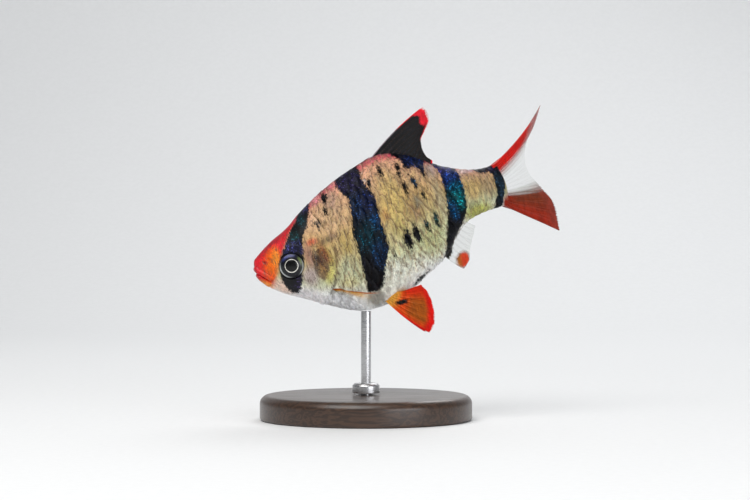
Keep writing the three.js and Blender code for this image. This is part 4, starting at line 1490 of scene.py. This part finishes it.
@dataclass(frozen=True)
class Eye:
    """An eye: a lens with a painted iris, a silver ring and a slightly raised pupil."""

    body: BodyForm
    side: int
    radius: float = 1.98
    dome: float = 0.62
    depth: float = 1.2
    sink: float = 0.12
    pupil: float = 0.97
    segments: int = 96

    def tint(self, radius: Array, turn: Array) -> Array:
        """The iris: pupil, thin silver ring, dark iris with yellow-green fields, a blue field at the top that
        is a painted reflection of the sky, and pale rim arcs that are partly the rim's own colour and partly
        painted highlights.

        Args:
            radius: The distance from the eye's middle, in millimetres.
            turn: The turn round it from the tail's side upwards, in radians.

        Returns:
            Linear colours.
        """
        colour = np.broadcast_to(linear("0A0B14"), radius.shape + (3,))
        band = smoothstep(1.26, 1.6, radius) * smoothstep(1.88, 1.74, radius)
        # The blue field at the top (95 degrees) is a painted reflection of the sky; the other fields are the
        # iris's own colours.
        for middle, spread, shade, share in (
            (95, 0.2, "2C3678", 0.85), (12, 0.08, "77864A", 0.6), (-30, 0.1, "343A2C", 0.5),
            (190, 0.12, "2A302C", 0.5),
        ):
            field_share = hump(np.cos(turn - math.radians(middle)) - 1, spread) * band
            colour = washed(colour, shade, field_share * share)
        # The pale arcs on the rim are partly the rim's own pale colour and partly painted highlights.
        rim = smoothstep(1.68, 1.8, radius) * smoothstep(1.96, 1.9, radius)
        pale = np.maximum(hump(np.cos(turn - math.radians(200)) - 1, 0.3), hump(np.cos(turn + 0.4) - 1, 0.2))
        colour = washed(colour, "C4CACA", rim * (0.02 + 0.75 * pale))
        thick = 0.02 + 0.035 * hump(np.cos(turn + math.pi / 2) - 1, 0.9)
        ring = smoothstep(thick + 0.03, thick - 0.01, np.abs(radius - (self.pupil + 0.06)))
        colour = washed(colour, "ECEAE0", ring)
        return washed(colour, "020203", smoothstep(self.pupil + 0.01, self.pupil - 0.04, radius))

    def build(self, material: bpy.types.Material) -> bpy.types.Object:
        """Makes the lens by turning its profile: an elliptic front and back about the sideways axis.

        Args:
            material: The piece's material.

        Returns:
            The mesh object.
        """
        front = np.linspace(0, 1, 44)[1:]
        back = np.linspace(1, 0, 12)[1:-1]
        radius = np.concatenate([front, back]) * self.radius
        height = np.concatenate([
            self.dome * np.sqrt(1 - front**2) + 0.05 * smoothstep(1.1, 0.7, front * self.radius),
            -self.depth * np.sqrt(1 - back**2),
        ])
        turn = np.arange(self.segments) / self.segments * 2 * math.pi
        r, c = radius[:, None], turn[None, :]
        base = float(self.body.half_width_at(np.array(EYE_AT[0]), np.array(EYE_AT[1]))) - self.sink
        s = EYE_AT[0] + r * np.cos(c)
        t = EYE_AT[1] + r * np.sin(c)
        v = self.side * (base + height[:, None] + 0 * c)
        points = self.body.pose.place(s, v, t)
        pole_v = self.side * (base + np.array([self.dome + 0.05, -self.depth]))
        poles = self.body.pose.place(np.full(2, EYE_AT[0]), pole_v, np.full(2, EYE_AT[1]))
        rows, columns = s.shape
        faces = grid_quads(rows, columns, closed=True).tolist() + pole_fans(rows, columns)
        name = "left" if self.side == LEFT else "right"
        points_in_fish = np.stack([np.append(x.ravel(), [0, 0]) for x in (s, v, t)], axis=-1)
        piece = make_piece(f"eyeball_{name}", np.vstack([points.reshape(-1, 3), poles]), faces)
        tint = self.tint(np.broadcast_to(r, s.shape), np.broadcast_to(c, s.shape)).reshape(-1, 3)
        tint = np.vstack([tint, linear("020203"), linear("14182A")])
        tint[len(front) * columns : -2] = linear("14182A")
        paint(piece, "tint", tint)
        paint(piece, "fish", points_in_fish, vector=True)
        settle(piece, material, "eye", f"eye_{name}")
        return piece


@dataclass(frozen=True)
class Fin:
    """A fin's blade: rays from a root line to a tip line, which branch on the way, in a thin membrane."""

    body: BodyForm
    node: str
    slot: str
    rays: int
    roots: Knots
    tips: Knots
    bulge: float
    side: int = LEFT
    web: float = 0.05
    ridge: float = 0.085
    flesh: float = 0.3
    flesh_reach: float = 0.28
    notch: float = 0.035
    wave: float = 0.08
    per_ray: int = 16
    rows: int = 56
    edge_ray: float = 0.6
    night: str = "0A0A10"

    def ray_share(self, a: Array, b: Array) -> Array:
        """How near a place is to a ray: 1 on it, 0 on the membrane.

        Ray middles lie where b times the count of gaps is whole. From a third of the way out each ray
        parts in two, and from two thirds out each of those parts again.

        Args:
            a: From root to tip, 0 to 1.
            b: From the leading ray to the last, 0 to 1.

        Returns:
            Shares from 0 to 1.
        """
        phase = b * (self.rays - 1)
        off = np.abs(phase - np.round(phase))
        first = 0.24 * smoothstep(0.32, 1.0, a)
        second = 0.11 * smoothstep(0.66, 1.0, a)
        width = 0.17 - 0.11 * smoothstep(0.0, 0.9, a)
        away = np.minimum(np.abs(off - first - second), np.abs(off - first + second))
        return np.exp(-((away / width) ** 2))

    def middle(self, a: Array, b: Array) -> tuple[Array, Array, Array]:
        """The blade's middle surface: root to tip in a straight line, bowed towards the leading edge.

        Args:
            a: From 0 at the root to 1 at the tip.
            b: From 0 at the leading ray to 1 at the last.

        Returns:
            The swimming frame's s, v and t.
        """
        roots, tips = path(self.roots, b), path(self.tips, b)
        a, b = np.broadcast_arrays(a, b)
        bow = self.bulge * (1 - b) * 2 * a * (1 - a)
        way = tips - roots
        upward = np.sign(self.tips[0][2] - self.roots[0][2])
        s, v, t = (roots[..., k] + way[..., k] * a for k in range(3))
        v = v + self.wave * a * np.sin(9 * b + 4 * a)
        if self.side == RIGHT:
            v = -v
        return s - upward * bow * way[..., 2], v, t + upward * bow * way[..., 0]

    def colours(self, a: Array, b: Array, s: Array, t: Array) -> tuple[Array, Array, Array]:
        """The tint, the opacity and the gap to a dark mark. Each kind of fin has its own.

        Args:
            a: From root to tip.
            b: From the leading ray to the last.
            s: Spine distances.
            t: Heights.

        Returns:
            Linear colours, opacities from 0 to 1, and gaps in millimetres.
        """
        raise NotImplementedError

    def build(self, material: bpy.types.Material) -> bpy.types.Object:
        """Makes the closed blade: its middle surface moved both ways along its normal by half its thickness.

        Half the thickness is the membrane's, plus the ridge's on a ray, plus flesh near the root, all
        thinning to the tip. The tips of the membrane stand back a little between the rays.

        Args:
            material: The piece's material.

        Returns:
            The mesh object.
        """
        columns = (self.rays - 1) * self.per_ray + 1
        a0 = np.linspace(0, 1, self.rows)[:, None]
        b = np.linspace(0, 1, columns)[None, :]
        edge = self.ray_share(np.ones_like(b), b)
        a = a0 * (1 - self.notch * (1 - edge) * (0.4 + 0.6 * np.abs(np.sin(17 * b + 2))))
        ray = self.ray_share(a0, b)

        def at(x: Array, y: Array) -> Array:
            """The middle surface in the model's frame."""
            return self.body.pose.place(*self.middle(np.clip(x, 0, 1), np.clip(y, 0, 1)))

        along = at(a + 0.01, b) - at(a - 0.01, b)
        over = at(a, b + 0.004) - at(a, b - 0.004)
        normal = unit(np.cross(along, over))
        lead = self.edge_ray * self.ridge * (smoothstep(0.04, 0.0, b) + 0.3 * smoothstep(0.97, 1.0, b))
        thin = 1 - 0.75 * a0**2
        half = (self.web + (self.ridge * ray + lead) * thin) * (1 - 0.5 * a0**6)
        half = half + self.flesh * smoothstep(self.flesh_reach, 0, a0)
        middle = at(a, b)
        offset = normal * half[..., None] * MM
        sheets = np.stack([middle + offset, middle - offset])
        rows = self.rows
        grid = grid_quads(rows, columns)
        rim = grid_rim(rows, columns)
        far = rows * columns
        walls = np.stack([rim, np.roll(rim, -1), np.roll(rim, -1) + far, rim + far], axis=-1)
        faces = [*grid[:, ::-1].tolist(), *(grid + far).tolist(), *walls.tolist()]
        piece = make_piece(f"{self.node}_blade", sheets, faces)
        s, v, t = self.middle(a, b)
        tint, opacity, gap = self.colours(*np.broadcast_arrays(a0, b, s, t))
        fish = np.stack([s, v, t], axis=-1)
        paint(piece, "fish", np.stack([fish, fish]), vector=True)
        paint(piece, "tint", np.stack([tint, tint]))
        paint(piece, "night", np.broadcast_to(linear(self.night), (2,) + tint.shape))
        for name, values in (("opacity", opacity), ("dark_gap", gap), ("ray", ray)):
            paint(piece, name, np.stack([values, values]))
        spot = np.stack(np.broadcast_arrays(b, a0 * 10), axis=-1)
        unwrap(piece, "fin_map", np.stack([spot, spot]))
        settle(piece, material, self.slot, self.node)
        return piece


class DorsalFin(Fin):
    """The back fin: black, with a bright red tip and a pale leading edge."""

    def colours(self, a: Array, b: Array, s: Array, t: Array) -> tuple[Array, Array, Array]:
        """Red at the tip and along the upper rear edge, pink on the leading ray, dark elsewhere.

        Args:
            a: From root to tip, 0 to 1.
            b: From the leading ray to the last, 0 to 1.
            s: Distances along the spine, in millimetres.
            t: Heights, in the same shape.

        Returns:
            Linear colours, opacities from 0 to 1, and gaps in millimetres.
        """
        wavy = 0.02 * np.sin(34 * b + 1)
        tip = smoothstep(0.84, 0.88, a + wavy) * smoothstep(0.34, 0.22, b)
        rear = smoothstep(0.93, 0.96, a) * smoothstep(0.62, 0.5, b)
        lead = smoothstep(0.022, 0.008, b)
        heel = smoothstep(0.95, 0.98, b) * smoothstep(0.5, 0.65, a)
        red = np.max([tip, rear, lead * smoothstep(0.5, 0.65, a), heel], axis=0)
        colour = layered("05040E", (("E01028", red), ("B9A9B4", lead * smoothstep(0.62, 0.45, a) * 0.8)))
        return colour, np.full(a.shape, 0.97), -0.9 + 1.9 * np.maximum(red, lead)


class TailFin(Fin):
    """The forked tail fin: red lobes, rusty below, and a clear middle."""

    def colours(self, a: Array, b: Array, s: Array, t: Array) -> tuple[Array, Array, Array]:
        """Red along the upper edge, fading to its tip, brownish red in the lower lobe, clear between.

        Args:
            a: From root to tip, 0 to 1.
            b: From the leading ray to the last, 0 to 1.
            s: Distances along the spine, in millimetres.
            t: Heights, in the same shape.

        Returns:
            Linear colours, opacities from 0 to 1, and gaps in millimetres.
        """
        upper = smoothstep(0.46, 0.16, b + 0.07 * a)
        lower = smoothstep(0.64, 0.8, b + 0.03 * a)
        rusty = np.maximum(smoothstep(0.4, 0.0, a), smoothstep(0.8, 0.98, b))
        colour = layered("8E9A88", (
            ("D81C14", upper),
            ("A04038", upper * smoothstep(0.5, 1.0, a) * 0.8),
            ("74301A", lower),
            ("962612", lower * rusty),
            ("8C3A30", lower * smoothstep(0.75, 1.0, a) * 0.8),
        ))
        strength = np.maximum(upper * (1 - 0.25 * smoothstep(0.6, 1.0, a)), lower)
        opacity = np.maximum(0.08 + 0.9 * strength, smoothstep(0.14, 0.0, a))
        dark = smoothstep(0.1, 0.03, a) * smoothstep(0.82, 0.7, b) * smoothstep(0.02, 0.1, b)
        return colour, opacity, 1.0 - 2.0 * dark


class AnalFin(Fin):
    """The anal fin: clear, with an orange-red front tip and a dark root in front."""

    def colours(self, a: Array, b: Array, s: Array, t: Array) -> tuple[Array, Array, Array]:
        """Orange-red towards the front tip, black at the front root, clear elsewhere.

        Args:
            a: From root to tip, 0 to 1.
            b: From the leading ray to the last, 0 to 1.
            s: Distances along the spine, in millimetres.
            t: Heights, in the same shape.

        Returns:
            Linear colours, opacities from 0 to 1, and gaps in millimetres.
        """
        away = np.hypot((s - 33.6) / 1.5, (t + 9.6) / 1.25)
        red = smoothstep(1.35, 0.7, away)
        colour = layered("98A28C", (("D8401A", red), ("A87E2A", red * smoothstep(33.6, 32.4, s) * 0.7)))
        opacity = 0.14 + 0.84 * red
        dark = np.hypot(a / 0.3, (b - 0.06) / 0.3) - 1
        return colour, opacity, dark * 1.2


class PelvicFin(Fin):
    """A pelvic fin: orange-red with olive, see-through fields, a yellow root and a red rim."""

    def colours(self, a: Array, b: Array, s: Array, t: Array) -> tuple[Array, Array, Array]:
        """Yellow to orange to red by distance out, olive between, red along both edges and the tips.

        Args:
            a: From root to tip, 0 to 1.
            b: From the leading ray to the last, 0 to 1.
            s: Distances along the spine, in millimetres.
            t: Heights, in the same shape.

        Returns:
            Linear colours, opacities from 0 to 1, and gaps in millimetres.
        """
        olive = smoothstep(0.3, 0.56, a) * smoothstep(0.93, 0.8, a)
        olive = olive * smoothstep(0.06, 0.22, b) * smoothstep(0.85, 0.5, b)
        rim = np.max([smoothstep(0.82, 0.93, a), smoothstep(0.07, 0.02, b)], axis=0)
        colour = layered("D8480C", (
            ("E0A03C", smoothstep(0.3, 0.08, a)),
            ("945610", olive * 0.75),
            ("DC0E06", rim * smoothstep(0.12, 0.4, a)),
            ("D42008", smoothstep(0.55, 0.9, b) * smoothstep(0.2, 0.5, a) * 0.9),
        ))
        spot = np.hypot((s - 20.9) / 0.85, (t + 12.75) / 0.36) - 1
        return colour, np.full(a.shape, 0.98), spot * 0.4


class PectoralFin(Fin):
    """A pectoral fin: an amber leading ray before a clear fan."""

    def colours(self, a: Array, b: Array, s: Array, t: Array) -> tuple[Array, Array, Array]:
        """Amber on the leading rays, thinning out over the first third, clear beyond.

        Args:
            a: From root to tip, 0 to 1.
            b: From the leading ray to the last, 0 to 1.
            s: Distances along the spine, in millimetres.
            t: Heights, in the same shape.

        Returns:
            Linear colours, opacities from 0 to 1, and gaps in millimetres.
        """
        lead = smoothstep(0.09, 0.03, b) * smoothstep(1.0, 0.7, a)
        amber = smoothstep(0.62, 0.2, b) * smoothstep(0.85, 0.4, a)
        colour = layered("C4C0B6", (("E8AC2C", amber), ("B4561A", lead)))
        opacity = 0.12 + 0.6 * amber + 0.8 * lead
        return colour, np.clip(opacity, 0, 0.95), np.full(a.shape, 3.0)


DORSAL = {
    "rays": 12, "bulge": 0.08, "roots": ((22.6, 0, 10.1), (28.0, 0, 8.75), (32.4, 0, 5.8)),
    "tips": (
        (34.2, 0, 15.9), (34.8, 0, 14.7), (34.4, 0, 13.2), (33.3, 0, 12.1), (32.2, 0, 10.9),
        (31.9, 0, 9.5), (32.1, 0, 8.2), (32.9, 0, 7.2),
    ),
}
TAIL = {
    "rays": 19, "bulge": -0.1, "roots": ((42.9, 0, 3.35), (43.5, 0, 0), (42.9, 0, -3.3)),
    "tips": (
        (57.1, 1.2, 10.5), (55.0, 1.8, 7.6), (52.8, 2.2, 5.3), (51.1, 1.7, 2.6), (50.5, 0.8, 0.1),
        (51.4, 0.2, -2.6), (52.6, -0.1, -6.0), (51.8, -0.4, -10.3),
    ),
}
ANAL = {
    "rays": 9, "bulge": 0.12, "roots": ((29.6, 0, -7.4), (32.2, 0, -5.2), (34.4, 0, -3.3)),
    "tips": ((33.4, 2.6, -11.1), (35.0, 2.7, -10.0), (35.5, 2.0, -8.3), (36.2, 1.1, -6.5), (36.9, 0.5, -5.0)),
}
PELVIC = {
    "rays": 9, "bulge": 0.08, "roots": ((18.5, -1.1, -11.7), (19.6, -1.5, -11.4), (20.6, -1.7, -11.2)),
    "tips": (
        (23.3, -3.2, -18.8), (24.4, -3.7, -17.5), (24.9, -4.2, -15.1), (24.8, -4.3, -12.6),
        (24.2, -4.1, -11.0),
    ),
}
PECTORAL = {
    "rays": 13, "bulge": 0.1, "roots": ((11.4, -3.0, -7.2), (11.8, -3.0, -7.7), (12.1, -2.9, -8.2)),
    "tips": (
        (18.8, -7.6, -10.2), (18.7, -8.4, -11.2), (17.3, -8.3, -11.8), (15.4, -6.8, -11.4),
        (13.9, -5.0, -10.3),
    ),
}


@dataclass(frozen=True)
class Barb:
    """The whole fish."""

    body: BodyForm = field(default_factory=BodyForm)

    def build(self) -> None:
        """Builds the skin, the scales, the eyes and the fins, in that order."""
        markings = Markings(self.body)
        Skin(self.body, markings).build(SkinFinish("moist_skin").material())
        ScaleCoat(self.body, markings).build(ScaleFinish("scale_plates").material())
        wet = EyeFinish("wet_eye").material()
        for side in (LEFT, RIGHT):
            Eye(self.body, side).build(wet)
        membrane = FinFinish("fin_membrane").material()
        DorsalFin(self.body, "dorsal_fin", "black_fin", ridge=0.06, notch=0.06, **DORSAL).build(membrane)
        TailFin(self.body, "tail_fin", "clear_fin", flesh=0.55, flesh_reach=0.2, **TAIL).build(membrane)
        AnalFin(self.body, "anal_fin", "clear_fin", **ANAL).build(membrane)
        for side, name in ((LEFT, "left"), (RIGHT, "right")):
            PelvicFin(self.body, f"pelvic_fin_{name}", "red_fin", side=side, **PELVIC).build(membrane)
            PectoralFin(self.body, f"pectoral_fin_{name}", "amber_fin", side=side, **PECTORAL).build(membrane)


# The stand


@dataclass(frozen=True)
class Turned:
    """A piece turned about the upright axis from a profile of radius and height, its corners rounded."""

    name: str
    profile: Knots
    corner: float = 0.25
    sides: int = 128
    steps: int = 6

    def rounded(self) -> Array:
        """The profile with each corner cut back by the radius and rounded by a quadratic curve.

        Returns:
            The points, a radius and a height each, in millimetres.
        """
        corners = np.array(self.profile, float)
        made = []
        for i, here in enumerate(corners):
            before, after = corners[i - 1], corners[(i + 1) % len(corners)]
            cut = min(self.corner, *(np.linalg.norm(here - other) / 2.2 for other in (before, after)))
            if here[0] == 0:
                made.append(here[None])
                continue
            start = here + (before - here) / np.linalg.norm(before - here) * cut
            end = here + (after - here) / np.linalg.norm(after - here) * cut
            f = np.linspace(0, 1, self.steps)[:, None]
            made.append(start * (1 - f) ** 2 + here * 2 * f * (1 - f) + end * f**2)
        return np.vstack(made)

    def build(self, material: bpy.types.Material, slot: str, node: str) -> bpy.types.Object:
        """Makes the piece: the rounded profile swept round, with its ends on the axis drawn to a point.

        Args:
            material: The piece's material.
            slot: The record's material slot, passed on to settle.
            node: The node of the frame that it stands for.

        Returns:
            The mesh object.
        """
        outline = self.rounded() * MM
        turn = np.arange(self.sides) / self.sides * 2 * math.pi
        radius, height = outline[:, :1], outline[:, 1:]
        swept = (radius * np.cos(turn), radius * np.sin(turn), height + 0 * turn)
        points = np.stack(np.broadcast_arrays(*swept), axis=-1)
        closed = self.profile[0][0] > 0
        quads = grid_quads(len(outline), self.sides, closed=True)
        if closed:
            last = (len(outline) - 1) * self.sides
            ring = np.arange(self.sides)
            nxt = (ring + 1) % self.sides
            quads = np.vstack([quads, np.stack([last + ring, last + nxt, nxt, ring], axis=-1)])
        piece = make_piece(self.name, points, quads)
        if not closed:
            merged = bmesh.new()
            merged.from_mesh(piece.data)
            bmesh.ops.remove_doubles(merged, verts=merged.verts, dist=WELD)
            merged.to_mesh(piece.data)
            merged.free()
        settle(piece, material, slot, node)
        return piece


@dataclass(frozen=True)
class Stand:
    """A round wooden base, and a steel rod in a collar that holds the fish up."""

    base_radius: float = 17.0
    base_height: float = 4.0
    bevel: float = 0.8
    foot_bevel: float = 0.3
    rod_radius: float = 0.8
    socket_depth: float = 2.4
    collar_radius: float = 2.2
    collar_height: float = 1.6
    collar_bevel: float = 0.4

    def build(self) -> None:
        """Builds the base, the collar and the rod at the sizes of their solids."""
        wood = WoodFinish("dark_wood").material()
        steel = SteelFinish("brushed_steel").material()
        socket = self.rod_radius + GAP
        top, floor = self.base_height, self.base_height - self.socket_depth
        base = (
            (0, 0), (self.base_radius - self.foot_bevel, 0), (self.base_radius, self.foot_bevel),
            (self.base_radius, top - self.bevel), (self.base_radius - self.bevel, top), (socket, top),
            (socket, floor), (0, floor),
        )
        Turned("plinth", base, corner=0.5).build(wood, "stand_wood", "stand_base")
        low, high = top + GAP, top + GAP + self.collar_height
        collar = (
            (socket, low), (self.collar_radius, low), (self.collar_radius, high - self.collar_bevel),
            (self.collar_radius - self.collar_bevel, high), (socket, high),
        )
        Turned("ferrule", collar, corner=0.12).build(steel, "stand_steel", "stand_collar")
        rod_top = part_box("stand_rod")[1].z / MM
        rod = ((0, floor + GAP), (self.rod_radius, floor + GAP), (self.rod_radius, rod_top), (0, rod_top))
        Turned("rod", rod, corner=0.1, sides=64).build(steel, "stand_steel", "stand_rod")


# The studio


class Lamp(Enum):
    """The studio's area lights: place in metres, size, power and colour."""

    KEY = ((-0.12, -0.26, 0.42), 0.4, 2.3, (1.0, 0.98, 0.95))
    FILL = ((0.3, -0.34, 0.03), 0.32, 1.2, (0.95, 0.97, 1.0))
    BACK = ((0.1, 0.3, 0.34), 0.24, 0.7, (1.0, 1.0, 1.0))


@dataclass(frozen=True)
class Studio:
    """A pale curved backdrop, soft lights and the camera."""

    aim: Vector = field(default_factory=lambda: Vector((0.00144, 0.0, 0.0272)))
    distance: float = 0.43
    elevation: float = math.radians(1.2)
    frame_width: float = 0.12
    sensor: float = 36.0
    floor_reach: float = 0.9
    wall_at: float = 0.5
    wall_height: float = 0.8
    curve_radius: float = 0.25
    half_span: float = 1.2
    sky: Sequence[float] = (0.86, 0.9, 0.95, 1)
    sky_strength: float = 0.2

    def backdrop(self) -> None:
        """A floor that turns up into a wall: a straight run, a quarter circle and a straight rise."""
        turn = np.linspace(0, math.pi / 2, 24)
        r = self.curve_radius
        y = np.concatenate([[-self.floor_reach], self.wall_at - r + r * np.sin(turn), [self.wall_at]])
        z = np.concatenate([[0.0], r - r * np.cos(turn), [self.wall_height]])
        x = np.array([-self.half_span, self.half_span])
        points = np.stack(np.broadcast_arrays(x[None, :], y[:, None], z[:, None]), axis=-1)
        floor = make_piece("backdrop", points, grid_quads(len(y), 2)[:, ::-1])
        floor.data.materials.append(PaperFinish("pale_paper").material())

    def lights(self) -> None:
        """The lamps, each aimed at the fish, and an even pale sky."""
        for lamp in Lamp:
            place, size, power, colour = lamp.value
            light = bpy.data.lights.new(lamp.name.lower(), "AREA")
            light.size, light.energy, light.color = size, power, colour
            holder = bpy.data.objects.new(lamp.name.lower(), light)
            holder.location = place
            holder.rotation_euler = (self.aim - Vector(place)).to_track_quat("-Z", "Y").to_euler()
            bpy.context.scene.collection.objects.link(holder)
        world = bpy.data.worlds.new("studio")
        world.use_nodes = True
        sky = world.node_tree.nodes["Background"]
        sky.inputs["Color"].default_value = self.sky
        sky.inputs["Strength"].default_value = self.sky_strength
        bpy.context.scene.world = world

    def camera(self) -> None:
        """The camera, level with the fish and square to it, framed as the photograph is."""
        lens = bpy.data.cameras.new("camera")
        lens.sensor_width = self.sensor
        lens.lens = self.sensor * self.distance / self.frame_width
        lens.clip_start, lens.clip_end = 0.01, 10
        eye = bpy.data.objects.new("camera", lens)
        back = Vector((0, -math.cos(self.elevation), math.sin(self.elevation)))
        eye.location = self.aim + back * self.distance
        eye.rotation_euler = (-back).to_track_quat("-Z", "Y").to_euler()
        bpy.context.scene.collection.objects.link(eye)
        bpy.context.scene.camera = eye
        bpy.context.scene.view_settings.view_transform = "Standard"


def main() -> None:
    """Builds the studio, the fish and the stand."""
    logging.basicConfig(level=logging.INFO, format="%(message)s")
    studio = Studio()
    studio.camera()
    studio.backdrop()
    studio.lights()
    Barb().build()
    Stand().build()


if __name__ == "__main__":
    main()
